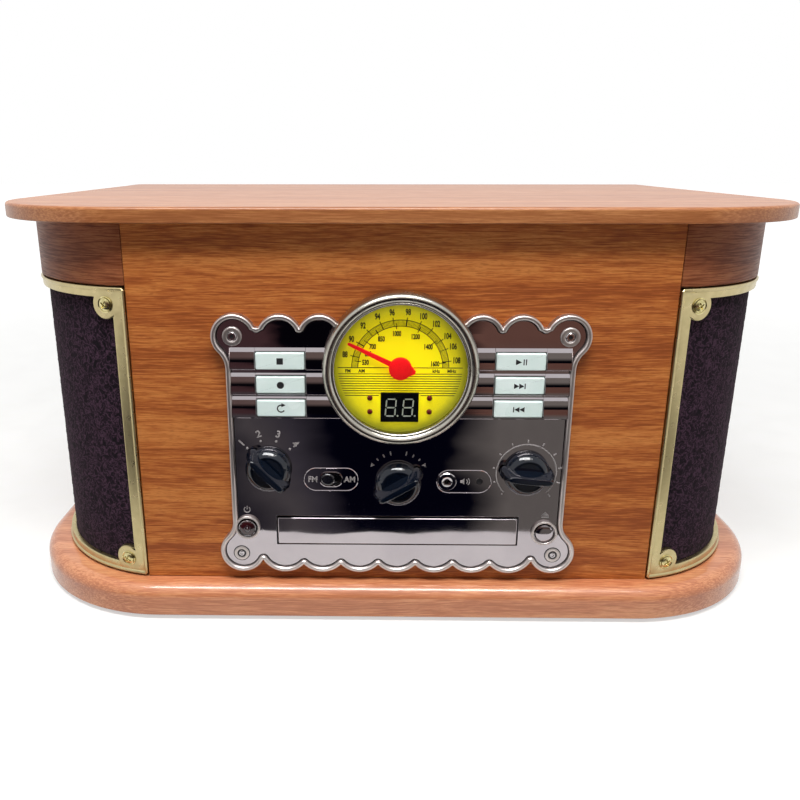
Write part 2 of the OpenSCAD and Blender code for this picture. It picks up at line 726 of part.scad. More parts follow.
module platter() color("#9a9da0") at_platter(platter_z) difference() {
  union() {
    rotate_extrude() polygon([
      [3, 8.5], [platter_d / 2 - 5, 8.5], [platter_d / 2 - 5, 0], [platter_d / 2 - 0.5, 0],
      [platter_d / 2, 0.5], [platter_d / 2, 11], [platter_d / 2 - 1, 12], [3, 12]
    ]);
    difference() {
      cylinder(r = sub_r, h = 9);
      translate([0, 0, -1]) cylinder(r = sub_r - 3, h = 11);
    }
    cylinder(r = 9, h = 9);
  }
  translate([0, 0, -1]) cylinder(r = 4, h = 14);
}

mat_hole_r = 4.8;

module slip_mat() color("#2b2b2b") at_platter(platter_top) difference() {
  cylinder(r = platter_d / 2 - 4, h = mat_top - platter_top);
  translate([0, 0, -1]) cylinder(r = mat_hole_r, h = 5);
}

module platter_spindle() color("#d0d0d0") {
  at_platter(deck_z - 24) cylinder(r = 4, h = platter_top - deck_z + 24);
  at_platter(platter_top) cylinder(r = spindle_d / 2, h = 9.5);
  at_platter(platter_top + 9.5) cylinder(r1 = spindle_d / 2, r2 = 2.2, h = 1.5);
}

// Motor: a can with bearings at both ends, and inside it the rotor on the pulley's shaft
motor_shaft_r = 1;
rotor_r = 14;
rotor_z = deck_z - 30.5;
rotor_h = 16.5;

module turntable_motor() color("#7a7d80") translate([pulley_place()[0], pulley_place()[1], 0]) {
  difference() {
    union() {
      translate([0, 0, deck_z - 34]) cylinder(r = 18, h = 24);
      translate([0, 0, deck_z - 10.5]) cylinder(r = 3.5, h = 4);
    }
    translate([0, 0, rotor_z - 1]) cylinder(r = rotor_r + 1.5, h = rotor_h + 2);
    translate([0, 0, deck_z - 33]) cylinder(r = motor_shaft_r + shaft_gap, h = 30);
  }
  for (a = [45, 225]) rotate([0, 0, a]) translate([14, 0, deck_z - 10.5]) cylinder(r = 3, h = 4.5);
}

module motor_pulley() color("#c8a050") translate([pulley_place()[0], pulley_place()[1], 0]) {
  translate([0, 0, deck_z - 32.8]) cylinder(r = motor_shaft_r, h = 37.3);
  translate([0, 0, rotor_z]) cylinder(r = rotor_r, h = rotor_h);
  translate([0, 0, belt_z - 3]) cylinder(r = pulley_r, h = 6);
  translate([0, 0, belt_z - 4.2]) cylinder(r = pulley_r + 0.8, h = 1);
}

// Flat belt: the long bend round the platter's rim, the short one round the pulley and two straights
module drive_belt() color("#181818") {
  reach = acos((belt_r - belt_end_r) / pulley_dist);
  straight = sqrt(pow(pulley_dist, 2) - pow(belt_r - belt_end_r, 2));
  translate([platter_at[0], platter_at[1], belt_z - 2]) rotate([0, 0, pulley_dir]) {
    rotate([0, 0, reach]) rotate_extrude(angle = 360 - 2 * reach) translate([belt_r, 0]) square([belt_t, 4]);
    translate([pulley_dist, 0, 0]) rotate([0, 0, -reach]) rotate_extrude(angle = 2 * reach)
      translate([belt_end_r, 0]) square([belt_t, 4]);
    for (side = [0, 1]) mirror([0, side, 0]) rotate([0, 0, reach]) translate([belt_r, -straight, 0])
      cube([belt_t, straight, 4]);
  }
}

module at_arm(z) translate([arm_at[0], arm_at[1], z]) children();

module tonearm_base() color("#2a2a2c") difference() {
  union() {
    at_arm(deck_z) translate([-20, -30, 0]) cube([62, 56, 3]);
    at_arm(deck_z) cylinder(r = 14, h = 19);
    at_arm(deck_z) translate([26, -24, 0]) cube([4, 10, 15]);
    at_arm(deck_z) translate([36, -24, 0]) cube([4, 10, 15]);
  }
  at_arm(deck_z + 3) cylinder(r = 4 + shaft_gap, h = 20);
  rod_x(arm_at[1] - 19, deck_z + 11.5, 1.5 + shaft_gap, arm_at[0] + 25, arm_at[0] + 41);
}

module tonearm_yoke() color("#b9bcc0") difference() {
  union() {
    at_arm(deck_z + 3.3) cylinder(r = 4, h = 16);
    at_arm(deck_z + 19.3) cylinder(r = 13, h = 3);
    for (side = [-1, 1]) at_arm(deck_z + 22) translate([side * 7.75 - 1.5, -4, 0]) cube([3, 8, 11]);
  }
  rod_x(arm_at[1], arm_z, 1.5 + shaft_gap, arm_at[0] - 10, arm_at[0] + 10);
}

// Arm with its pivot block, counterweight, headshell and cartridge, resting over its support
module tonearm() {
  color("#d0d2d6") {
    rod_y(arm_at[0], arm_z, 3.6, arm_at[1] - arm_len + 12, arm_at[1] + 40);
    at_arm(arm_z) translate([-5.8, -8, -5]) cube([11.6, 16, 10]);
    rod_x(arm_at[1], arm_z, 1.5, arm_at[0] - 9, arm_at[0] + 9);
  }
  color("#404044") rod_y(arm_at[0], arm_z, 11.5, arm_at[1] + 18, arm_at[1] + 38);
  color("#1c1c1e") {
    at_arm(arm_z) translate([-9, -arm_len - 10, -4.5]) cube([18, 34, 3]);
    at_arm(arm_z) translate([9, -arm_len + 6, -4.2]) cube([10, 4, 1.6]);
  }
  color("#a03030") at_arm(arm_z) translate([-7, -arm_len - 6, -7.4]) cube([14, 20, 3]);
  color("#dddddd") at_arm(arm_z - 8) translate([0, -arm_len, 0]) cylinder(r = 0.5, h = 1);
}

module cue_lever() color("#c0c2c6") {
  rod_x(arm_at[1] - 19, deck_z + 11.5, 1.5, arm_at[0] + 26, arm_at[0] + 40);
  rod_x(arm_at[1] - 19, deck_z + 11.5, 3.2, arm_at[0] + 30.4, arm_at[0] + 35.6);
  translate([arm_at[0] + 33, arm_at[1] - 19, deck_z + 11.5]) rotate([60, 0, 0]) cylinder(r = 1.6, h = 22);
  translate([arm_at[0] + 33, arm_at[1] - 19, deck_z + 11.5]) rotate([60, 0, 0]) translate([0, 0, 20])
    cylinder(r = 2.6, h = 6);
}

module speed_switch() color("#c0c2c6") {
  translate([181, -52, deck_z - 8]) cube([8.6, 14, 1.7]);
  translate([183.4, -50, deck_z - 6.5]) cube([3.8, 9, 11.5]);
}

// Rear sockets and the gland that the mains lead would leave by

socket_xs = [-120, -98];
socket_z = 60;
gland_x = -60;

module rear_sockets() color("#2a2a2c") difference() {
  union() {
    front_block(-92, socket_z, 88, 32, body_back_y, body_back_y + 1.5);
    for (x = socket_xs) {
      rod_y(x, socket_z, 4.15, body_back_y + 1, half_d - 1);
      rod_y(x, socket_z, 5.4, inner_back_y - 2, body_back_y + 0.5);
    }
    rod_y(gland_x, socket_z, 7.5, body_back_y + 1, body_back_y + 5);
    rod_y(gland_x, socket_z, 6.4, inner_back_y - 4, body_back_y + 0.5);
  }
  for (x = socket_xs) rod_y(x, socket_z, 1.7, body_back_y - 4, half_d);
  rod_y(gland_x, socket_z, 3.5, inner_back_y - 6, half_d);
}

// Cassette slot

module cassette_mechanism() color("#4a4a50") difference() {
  translate([145, cassette_y[0] - 4, cassette_z[0] - 14]) cube([inner_x - 0.3 - 145,
    cassette_y[1] - cassette_y[0] + 8, 34]);
  translate([150, cassette_y[0], cassette_z[0]]) cube([100, cassette_y[1] - cassette_y[0],
    cassette_z[1] - cassette_z[0]]);
}

// Flap over the slot, hung from a pin along its upper edge
module cassette_door() color("#1c1b1d") {
  translate([inner_x + 5, cassette_y[0] + 0.6, cassette_z[0] + 0.6])
    cube([2, cassette_y[1] - cassette_y[0] - 1.2, cassette_z[1] - cassette_z[0] - 2.6]);
  rod_y(inner_x + 6, cassette_z[1] - 2, 1.4, cassette_y[0] + 0.6, cassette_y[1] - 0.6);
}

module cassette_key() color("#c8c8c8") {
  translate([inner_x + 2, 78.4, 114.4]) cube([board_t + 2, 15.2, 9.2]);
  translate([inner_x - 3, 77, 113]) cube([2.7, 18, 12]);
  translate([inner_x - 0.4, 82, 116]) cube([2.5, 8, 6]);
}

plinth();
feet();
front_panel();
left_side_panel();
right_side_panel();
left_corner_cap();
right_corner_cap();
back_panel();
turntable_deck();
speaker_baffles();
left_grille_frame();
right_grille_frame();
front_screws();
left_grille_cloth();
right_grille_cloth();
speakers();
control_panel();
dial_bezel();
dial_lens();
dial_plate();
display_panel();
dial_pointer();
selector_knob();
tuning_knob();
volume_knob();
main_board();
stop_button();
record_button();
repeat_button();
play_button();
next_button();
previous_button();
power_button();
open_button();
band_switch();
aux_jack();
cd_tray();
cd_tray_front();
cd_chassis();
cd_spindle();
transformer();
lid();
hinge_plates();
hinge_leaves();
lid_stay();
platter();
slip_mat();
platter_spindle();
turntable_motor();
motor_pulley();
drive_belt();
tonearm_base();
tonearm_yoke();
tonearm();
cue_lever();
speed_switch();
rear_sockets();
cassette_mechanism();
cassette_door();
cassette_key();
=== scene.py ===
"""Looks of a stereo music centre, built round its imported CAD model.

Lengths in the classes are millimetres in the CAD frame: Z is up and the control panel faces -Y.
"""

import logging
import math
from collections.abc import Callable, Sequence
from dataclasses import dataclass
from enum import Enum

import bmesh
import bpy
from mathutils import Matrix, Vector, noise


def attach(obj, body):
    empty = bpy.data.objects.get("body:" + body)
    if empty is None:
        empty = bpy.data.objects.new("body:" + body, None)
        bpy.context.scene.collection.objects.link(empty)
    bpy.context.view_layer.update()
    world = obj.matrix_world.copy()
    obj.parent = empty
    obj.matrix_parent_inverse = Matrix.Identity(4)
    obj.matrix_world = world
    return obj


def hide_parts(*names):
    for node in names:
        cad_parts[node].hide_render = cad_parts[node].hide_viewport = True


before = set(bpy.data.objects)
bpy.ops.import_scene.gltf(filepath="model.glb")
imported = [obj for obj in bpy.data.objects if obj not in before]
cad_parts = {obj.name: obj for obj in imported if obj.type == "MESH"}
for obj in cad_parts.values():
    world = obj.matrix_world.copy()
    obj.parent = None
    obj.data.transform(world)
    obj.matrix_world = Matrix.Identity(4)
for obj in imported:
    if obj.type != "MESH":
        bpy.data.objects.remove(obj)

log = logging.getLogger("music_centre")

MM = 0.001

Flat = tuple[float, float]
Colour = tuple[float, float, float, float]
Profile = list[Flat]

# Places that the CAD model and the looks share
BOARD_BACK_Y = -164.0  # back of the front board
FRONT_Y = -176.0  # face of the front board
FIELD_Y = -179.0  # face of the control panel's plate
CARD_Y = -181.0  # face of the dial card
PLINTH_TOP = 23.0
SEAM_X = 158.4  # where the front board meets the speaker corners
CORNER = Vector((140.79, -83.96, 0))  # centre line of the right speaker corner

# Places on the control panel, across and up
DIAL_Z = 163.0
DISPLAY_Z = 139.0
TRAY_Z = 57.7
KEY_X = 69.85
KEY_ZS = (166.8, 152.4, 138.1)
SELECTOR: Flat = (-78.7, 98.9)
TUNING: Flat = (0.0, 90.0)
VOLUME: Flat = (77.6, 97.0)
BAND: Flat = (-40.8, 92.0)
AUX: Flat = (40.1, 91.0)  # middle of the line round the socket
SOCKET: Flat = (AUX[0] - 10.3, AUX[1])
POWER: Flat = (-93.0, 59.8)
EJECT: Flat = (91.0, 57.2)
SCREW_X = 97.5
SCREW_ZS = (181.0, 41.6)


def linear(hex_colour: str) -> Colour:
    """Turns an sRGB hex colour into the linear one that shaders take.

    Args:
        hex_colour: Six digits after a hash.

    Returns:
        Red, green, blue and full alpha.
    """
    parts = [int(hex_colour[i : i + 2], 16) / 255 for i in (1, 3, 5)]
    red, green, blue = (c / 12.92 if c <= 0.04045 else ((c + 0.055) / 1.055) ** 2.4 for c in parts)
    return (red, green, blue, 1.0)


def per_metre(size_mm: float) -> float:
    """Scale that gives a texture one feature in so many millimetres."""
    return 1 / (size_mm * MM)


# Finishes


class Recipe:
    """Node tree of one material, or of the world, while it is put together."""

    def __init__(self, owner: bpy.types.ID) -> None:
        """Starts the material's or the world's tree afresh."""
        self.owner = owner
        owner.use_nodes = True
        self.tree = owner.node_tree
        self.tree.nodes.clear()

    def add(
        self, kind: str, inputs: dict[str | int, object] | None = None, **settings: object
    ) -> bpy.types.Node:
        """Adds one node.

        Args:
            kind: Blender's name of the node.
            inputs: Its inputs by name or number: a value, a socket, or a node for that node's first output.
            **settings: Its own settings; stops are a colour ramp's places and colours.

        Returns:
            The node.
        """
        node = self.tree.nodes.new(kind)
        for name, value in settings.items():
            if name == "stops":
                ramp = node.color_ramp
                while len(ramp.elements) < len(value):
                    ramp.elements.new(0.5)
                for element, (place, colour) in zip(ramp.elements, value):
                    element.position, element.color = place, linear(colour)
            else:
                setattr(node, name, value)
        for key, value in (inputs or {}).items():
            source = value.outputs[0] if isinstance(value, bpy.types.Node) else value
            if isinstance(source, bpy.types.NodeSocket):
                self.tree.links.new(source, node.inputs[key])
            else:
                node.inputs[key].default_value = source
        return node

    def place(self, size_mm: float | Sequence[float], turn: float = 0.0) -> bpy.types.Node:
        """Object coordinates that grow by one in so many millimetres.

        Args:
            size_mm: The millimetres, for all axes or along X, Y and Z.
            turn: Turn about Z in radians, before the coordinates are scaled.

        Returns:
            The node.
        """
        sizes = (size_mm,) * 3 if isinstance(size_mm, (int, float)) else size_mm
        where: object = self.add("ShaderNodeTexCoord").outputs["Object"]
        if turn:
            where = self.add("ShaderNodeMapping", {"Vector": where, "Rotation": (0, 0, turn)})
        return self.add("ShaderNodeMapping", {"Vector": where, "Scale": [per_metre(size) for size in sizes]})

    def finish(self, kind: str, inputs: dict[str | int, object]) -> None:
        """Ends the tree with the surface's shader, or with the world's light."""
        end = "World" if isinstance(self.owner, bpy.types.World) else "Material"
        self.add(f"ShaderNodeOutput{end}", {"Surface": self.add(kind, inputs)})


@dataclass(frozen=True)
class Finish:
    """A finish of the real object."""

    name: str

    def build(self, recipe: Recipe) -> None:
        """Fills the material's node tree."""
        raise NotImplementedError

    def material(self) -> bpy.types.Material:
        """Material of this finish, made when it is first asked for."""
        made = bpy.data.materials.get(self.name)
        if made is None:
            made = bpy.data.materials.new(self.name)
            self.build(Recipe(made))
        return made


class Grain(Enum):
    """Way that a board's grain runs."""

    ACROSS = 0.0  # along X
    DEEP = math.pi / 2  # along Y
    UNROLLED = -1.0  # along the curve of a bent board


@dataclass(frozen=True)
class LacqueredVeneer(Finish):
    """Oak-grained veneer on fibreboard, stained and lacquered.

    It gives the eye short fine streaks, broader paler and darker bands and many small dark pores. Real
    pores are about 0.2 mm wide; they are drawn 0.5 mm wide so that they show.
    """

    dark: str = "#8a441b"
    middle: str = "#ad6029"
    light: str = "#c67c3e"
    grain: Grain = Grain.ACROSS
    wave_mm: float = 3.0
    coat: float = 0.0
    gloss: float = 0.22
    ior: float = 1.35

    def build(self, recipe: Recipe) -> None:
        """Lays pores and streaks over a slow figure, all bent by one gentle wave."""
        if self.grain is Grain.UNROLLED:
            base = recipe.add("ShaderNodeUVMap", uv_map="board")
        else:
            base = recipe.place(1000, self.grain.value)

        def layer(where: bpy.types.Node, size_mm: Flat, detail: float, blur: float = 0.55) -> bpy.types.Node:
            """Noise drawn out along the grain."""
            along, across = (per_metre(size) for size in size_mm)
            rates = (along, across, across)
            scaled = recipe.add("ShaderNodeVectorMath", {0: where, 1: rates}, operation="MULTIPLY")
            return recipe.add(
                "ShaderNodeTexNoise", {"Vector": scaled, "Scale": 1.0, "Detail": detail, "Roughness": blur}
            )

        wave = layer(base, (130.0, 48.0), 1.0, 0.5).outputs["Color"]
        shift = 2 * self.wave_mm * MM
        sway = {0: wave, 1: (0, shift, shift), 2: base}
        bent = recipe.add("ShaderNodeVectorMath", sway, operation="MULTIPLY_ADD")
        streaks = layer(bent, (18.0, 0.85), 3.0)
        figure = layer(bent, (200.0, 12.0), 2.0)
        pores = layer(bent, (5.0, 0.5), 1.0)
        slow = recipe.add("ShaderNodeMath", {0: figure, 1: 0.4}, operation="MULTIPLY")
        blend = recipe.add("ShaderNodeMath", {0: streaks, 1: 0.6, 2: slow}, operation="MULTIPLY_ADD")
        stops = [(0.4, self.dark), (0.5, self.middle), (0.6, self.light)]
        colour = recipe.add("ShaderNodeValToRGB", {0: blend}, stops=stops)
        dashes = recipe.add("ShaderNodeMapRange", {0: pores, 1: 0.54, 2: 0.68, 3: 0.0, 4: 0.5})
        stained = recipe.add("ShaderNodeMix", {0: dashes, 6: colour, 7: linear(self.dark)}, data_type="RGBA")
        recipe.finish("ShaderNodeBsdfPrincipled", {
            "Base Color": stained.outputs[2],
            "Roughness": recipe.add("ShaderNodeMapRange", {0: streaks, 1: 0.3, 2: 0.7, 3: 0.5, 4: 0.36}),
            "IOR": self.ior,
            "Coat Weight": self.coat,
            "Coat Roughness": self.gloss,
            "Normal": recipe.add("ShaderNodeBump", {"Strength": 0.25, "Distance": 0.0003, "Height": blend}),
        })


@dataclass(frozen=True)
class Plated(Finish):
    """Plated, polished or brushed metal: one colour of shine, broken up by faint smudges."""

    colour: str
    tarnish: str
    polish: float
    dull: float
    smudge_mm: float | tuple[float, float, float]

    def build(self, recipe: Recipe) -> None:
        """Varies colour and roughness by the same smudges."""
        where = recipe.place(self.smudge_mm)
        smudge = recipe.add("ShaderNodeTexNoise", {"Vector": where, "Scale": 1.0, "Detail": 4.0})
        stops = [(0.35, self.colour), (0.75, self.tarnish)]
        dulling = {0: smudge, 1: 0.3, 2: 0.75, 3: self.polish, 4: self.dull}
        recipe.finish("ShaderNodeBsdfPrincipled", {
            "Base Color": recipe.add("ShaderNodeValToRGB", {0: smudge}, stops=stops),
            "Metallic": 1.0,
            "Roughness": recipe.add("ShaderNodeMapRange", dulling),
        })


@dataclass(frozen=True)
class Moulded(Finish):
    """Moulded plastic, rubber, paint or pressed board: an even colour, faint mottling and a fine skin.

    Real grit is about 0.1 mm; it is drawn several times coarser so that it shows.
    """

    colour: str
    mottle: str
    rough: float
    grit_mm: float
    relief_mm: float
    patch_mm: float
    ior: float = 1.5
    coat: float = 0.0
    # Strength of a painted glow in the part's own colour; the part is no lamp
    glow: float = 0.0

    def build(self, recipe: Recipe) -> None:
        """Mixes two near colours in patches and gives the skin a fine grit."""
        where = recipe.place(self.patch_mm)
        patch = recipe.add("ShaderNodeTexNoise", {"Vector": where, "Scale": 1.0, "Detail": 3.0})
        where = recipe.place(self.grit_mm)
        grit = recipe.add("ShaderNodeTexNoise", {"Vector": where, "Scale": 1.0, "Detail": 2.0})
        low, high, depth = self.rough * 0.9, self.rough * 1.15, self.relief_mm * MM
        stops = [(0.35, self.colour), (0.7, self.mottle)]
        recipe.finish("ShaderNodeBsdfPrincipled", {
            "Base Color": recipe.add("ShaderNodeValToRGB", {0: patch}, stops=stops),
            "Roughness": recipe.add("ShaderNodeMapRange", {0: patch, 1: 0.3, 2: 0.7, 3: low, 4: high}),
            "IOR": self.ior,
            "Coat Weight": self.coat,
            "Coat Roughness": 0.05,
            # Painted glow where glow is set: the part shines in its own colour as if lit
            "Emission Color": linear(self.colour),
            "Emission Strength": self.glow,
            "Normal": recipe.add("ShaderNodeBump", {"Strength": 0.5, "Distance": depth, "Height": grit}),
        })


@dataclass(frozen=True)
class CurlyCloth(Finish):
    """Flocked grille cloth: short dark pile with paler curls of thread that catch the light."""

    pile: str = "#0b070d"
    middle: str = "#1f141e"
    curl: str = "#4a3444"
    curl_mm: float = 3.8

    def build(self, recipe: Recipe) -> None:
        """Draws thin curls where a distorted noise crosses its middle."""
        where = recipe.place(self.curl_mm)
        pattern = recipe.add(
            "ShaderNodeTexNoise", {"Vector": where, "Scale": 1.0, "Detail": 2.5, "Distortion": 1.1}
        )
        stops = [(0.3, self.pile), (0.44, self.middle), (0.5, self.curl), (0.56, self.middle)]
        stops.append((0.7, self.pile))
        recipe.finish("ShaderNodeBsdfPrincipled", {
            "Base Color": recipe.add("ShaderNodeValToRGB", {0: pattern}, stops=stops),
            "Roughness": 0.9,
            "IOR": 1.2,
            "Sheen Weight": 0.06,
            "Sheen Roughness": 0.5,
            "Sheen Tint": linear("#a08a90"),
            "Normal": recipe.add("ShaderNodeBump", {"Strength": 0.8, "Distance": 0.0005, "Height": pattern}),
        })


@dataclass(frozen=True)
class PrintedDial(Finish):
    """Screen-printed dial card: bright yellow with a painted glow that brightens it as if lit, and painted
    shade that darkens it to olive towards the bezel's edge.
    """

    # Strength of the painted glow: emission that brightens the card as if it were lit; the card is no lamp
    painted_glow: float = 0.6
    # Radius at which the painted shade of the bezel has darkened the yellow to olive
    painted_shade_r_mm: float = 38.5

    def build(self, recipe: Recipe) -> None:
        """Paints the bezel's shade by darkening the yellow to olive with the distance from the dial's centre,
        and adds a painted glow.
        """
        where = recipe.add("ShaderNodeTexCoord").outputs["Object"]
        centre = (0, CARD_Y * MM, DIAL_Z * MM)
        offset = recipe.add("ShaderNodeVectorMath", {0: where, 1: centre}, operation="SUBTRACT")
        reach = recipe.add("ShaderNodeVectorMath", {0: offset}, operation="LENGTH").outputs["Value"]
        speck = recipe.add("ShaderNodeTexNoise", {"Vector": recipe.place(6), "Scale": 1.0, "Detail": 3.0})
        span = {0: reach, 1: 0.0, 2: self.painted_shade_r_mm * MM, 3: 0.0, 4: 0.95}
        outward = recipe.add("ShaderNodeMapRange", span)
        shade = recipe.add("ShaderNodeMath", {0: speck, 1: 0.05, 2: outward}, operation="MULTIPLY_ADD")
        # Yellow in the middle, painted shade darkening it to olive under the bezel's edge
        stops = [(0.0, "#fbe30f"), (0.6, "#efda10"), (0.84, "#cdbf18"), (0.98, "#7c7a1a")]
        colour = recipe.add("ShaderNodeValToRGB", {0: shade}, stops=stops)
        recipe.finish("ShaderNodeBsdfPrincipled", {
            "Base Color": colour,
            "Roughness": 0.5,
            "IOR": 1.3,
            # Painted glow: the card shines in its own colour as if lit
            "Emission Color": colour,
            "Emission Strength": self.painted_glow,
        })


@dataclass(frozen=True)
class ClearLens(Finish):
    """Polished clear polystyrene, moulded thin: the dial shows through it, under the lamps' reflections."""

    def build(self, recipe: Recipe) -> None:
        """Lays a mirror over a clear shader by the angle of view, with faint wipe marks in the polish."""
        wipe = recipe.add("ShaderNodeTexNoise", {"Vector": recipe.place(12), "Scale": 1.0, "Detail": 2.0})
        rough = recipe.add("ShaderNodeMapRange", {0: wipe, 1: 0.3, 2: 0.7, 3: 0.02, 4: 0.06})
        mirror = {"Base Color": linear("#ffffff"), "Metallic": 1.0, "Roughness": rough}
        shine = recipe.add("ShaderNodeBsdfPrincipled", mirror)
        clear = recipe.add("ShaderNodeBsdfTransparent", {"Color": linear("#fbfcf6")})
        view = recipe.add("ShaderNodeFresnel", {"IOR": 1.3})
        lamp = recipe.add("ShaderNodeLightPath").outputs["Is Shadow Ray"]
        share = recipe.add("ShaderNodeMath", {0: view, 1: lamp}, operation="SUBTRACT", use_clamp=True)
        recipe.finish("ShaderNodeMixShader", {0: share, 1: clear, 2: shine})


# Boards with hardly any shine on the front, and a hard gloss on the lid and the plinth
FRONT_VENEER = LacqueredVeneer("veneer_front")
SIDE_VENEER = LacqueredVeneer("veneer_side", grain=Grain.DEEP)
# Darker copy of the front veneer: painted shade of the lid's overhang on the corner caps
CAP_VENEER_PAINTED_SHADE = LacqueredVeneer("veneer_cap_painted_shade", "#6a351d", "#884c2f", "#9d613d", Grain.UNROLLED, ior=1.25)
LID_VENEER = LacqueredVeneer("veneer_lid", "#94562c", "#a8683a", "#ba7b4a", coat=0.35, ior=1.4)
PLINTH_VENEER = LacqueredVeneer(
    "veneer_plinth", "#b06a45", "#c47c54", "#d69468", wave_mm=5.0, coat=0.7, gloss=0.12, ior=1.45
)
# Soft pale gold sheen of the frames
BRASS = Plated("satin_brass_anodised", "#c2b387", "#b6a87c", 0.26, 0.34, 5.0)
# Small bright glints
BRIGHT_BRASS = Plated("brass_screw", "#d9cf9c", "#b3a66c", 0.16, 0.28, 2.0)
# Smoky mirror that draws the room in grey
SMOKED_CHROME = Plated("smoked_chrome_polished", "#b4adb0", "#aaa3a7", 0.03, 0.07, (26.0, 8.0, 26.0))
# Sharp white lines on small edges
EDGE_CHROME = Plated("polished_chrome_edge", "#c2bec0", "#a9a5a8", 0.06, 0.16, 12.0)
# Blurred silver of the panel's rim
RIM_SATIN = Plated("satin_chrome_rim", "#cdc5c1", "#bdb5b2", 0.34, 0.44, 12.0)
# Warm silver with soft bands round the dial
BEZEL_CHROME = Plated("brushed_nickel_bezel", "#b4b0a6", "#a29e94", 0.2, 0.3, 10.0)
# Dull grey of pressed parts
STEEL = Plated("zinc_plated_steel", "#9b9da0", "#83868a", 0.25, 0.4, 8.0)
# Clean pale shine of turned parts
ALUMINIUM = Plated("turned_aluminium", "#b9bbbe", "#a2a4a8", 0.18, 0.3, 7.0)
# Deeper gold of the hinges and the stay
HINGE_BRASS = Plated("pressed_brass", "#bda76a", "#9d8850", 0.24, 0.38, 6.0)
# Blue-black gloss with clear reflections
KNOB_PLASTIC = Moulded("knob_abs_blue_black", "#060c17", "#09111e", 0.07, 1.2, 0.002, 20.0, 1.5)
# Pale mint, faintly shiny
KEY_PLASTIC = Moulded("key_abs_mint", "#dff0ec", "#e8f6f3", 0.25, 1.0, 0.006, 18.0, 1.5, 0.3)
# Grained dark grey that shows no reflections
BLACK_ABS = Moulded("abs_black_textured", "#1b1b1e", "#232327", 0.45, 0.7, 0.03, 30.0)
# Piano black
GLOSS_BLACK = Moulded("abs_black_gloss", "#0b0b10", "#101018", 0.12, 1.0, 0.003, 12.0, 1.52, 0.5)
# Near black pane with weak reflections
WINDOW_BLACK = Moulded("window_acrylic_black", "#0a0b10", "#0d0f15", 0.12, 1.0, 0.002, 14.0, 1.3)
# Milky grey of figures that aren't lit
SEGMENT_GREY = Moulded("segment_diffuser", "#a4aab4", "#b2b8c2", 0.4, 0.8, 0.01, 5.0)
# Deep red beads with a wet highlight
LAMP_RED = Moulded("lamp_resin_red", "#5c1018", "#7a1820", 0.12, 1.0, 0.004, 2.0, 1.52, 0.5)
# Bright red, with a painted glow that stands in for the dial's light falling on it
POINTER_RED = Moulded("pointer_enamel_red", "#ee0f1d", "#e00c19", 0.35, 1.0, 0.01, 6.0, 1.35, 0.0, 0.3)
# Almost black red, polished
POWER_RED = Moulded("power_abs_dark_red", "#34090f", "#22070b", 0.1, 1.0, 0.004, 5.0, 1.52, 0.6)
# Flat grey of raised marks
SILVER_INK = Moulded("ink_silver", "#a09a9a", "#928c8c", 0.4, 0.5, 0.004, 4.0)
# Thin dull print on the dial
INK = Moulded("ink_black_green", "#1a1f10", "#22281a", 0.5, 0.5, 0.004, 5.0)
# Crisp dull print on the keys
KEY_INK = Moulded("ink_black", "#121416", "#1a1c1e", 0.5, 0.5, 0.004, 5.0)
# Matt black that swallows the light
RUBBER = Moulded("rubber_black", "#1a1a1a", "#242424", 0.75, 0.6, 0.05, 8.0)
# Matt brown with a pressed weave
HARDBOARD = Moulded("hardboard_brown", "#5b4433", "#6d5440", 0.7, 1.4, 0.12, 9.0)
# Dusty tan of bare board
BAFFLE_BOARD = Moulded("fibreboard_raw", "#8a6f4f", "#9b805e", 0.8, 1.0, 0.1, 12.0)
# Dark green under a thin gloss
CIRCUIT = Moulded("circuit_lacquer_green", "#1f4a2c", "#2a5a38", 0.3, 1.5, 0.03, 10.0, 1.5, 0.3)
# Sprayed grey with a dry surface
DARK_PAINT = Moulded("paint_dark_grey", "#37373a", "#424246", 0.5, 0.9, 0.05, 16.0)
# Dull black that shows its ribs
MAT_RUBBER = Moulded("mat_rubber", "#1e1e20", "#29292c", 0.8, 0.7, 0.08, 18.0)
# Smooth black, slightly shiny
BELT_RUBBER = Moulded("belt_rubber", "#121212", "#1b1b1b", 0.5, 0.7, 0.01, 6.0)
# Old white, half gloss
CREAM_PLASTIC = Moulded("polystyrene_cream", "#d8d4c4", "#cbc6b4", 0.35, 0.9, 0.01, 12.0)
# Clear red accent at the arm's tip
CARTRIDGE_RED = Moulded("cartridge_abs_red", "#8f1c1c", "#a02424", 0.25, 0.9, 0.01, 6.0)
GRILLE_CLOTH = CurlyCloth("cloth_flocked_curls")
DIAL_CARD = PrintedDial("dial_card_yellow")
LENS = ClearLens("lens_polystyrene")


# Drawing in millimetres


def ring(radius: float, count: int, centre: Flat = (0, 0), start: float = 0, end: float = 360) -> list[Flat]:
    """Points of a circle, or of an arc with both its ends.

    Args:
        radius: Radius.
        count: Number of points.
        centre: Centre.
        start: First angle in degrees.
        end: Last angle in degrees.

    Returns:
        The points, in order.
    """
    steps = count if abs(end - start) == 360 else count - 1
    angles = [math.radians(start + (end - start) * i / steps) for i in range(count)]
    return [(centre[0] + radius * math.cos(a), centre[1] + radius * math.sin(a)) for a in angles]


def rounded_box(width: float, height: float, radius: float, steps: int = 4) -> list[Flat]:
    """Outline of a rectangle with round corners, counter-clockwise round its middle."""
    across, up = width / 2 - radius, height / 2 - radius
    corners = [(across, up, 0), (-across, up, 90), (-across, -up, 180), (across, -up, 270)]
    return [p for x, y, a in corners for p in ring(radius, steps + 1, (x, y), a, a + 90)]


def shifted(outline: Sequence[Flat], at: Flat) -> list[Flat]:
    """Outline moved to a place."""
    return [(x + at[0], y + at[1]) for x, y in outline]


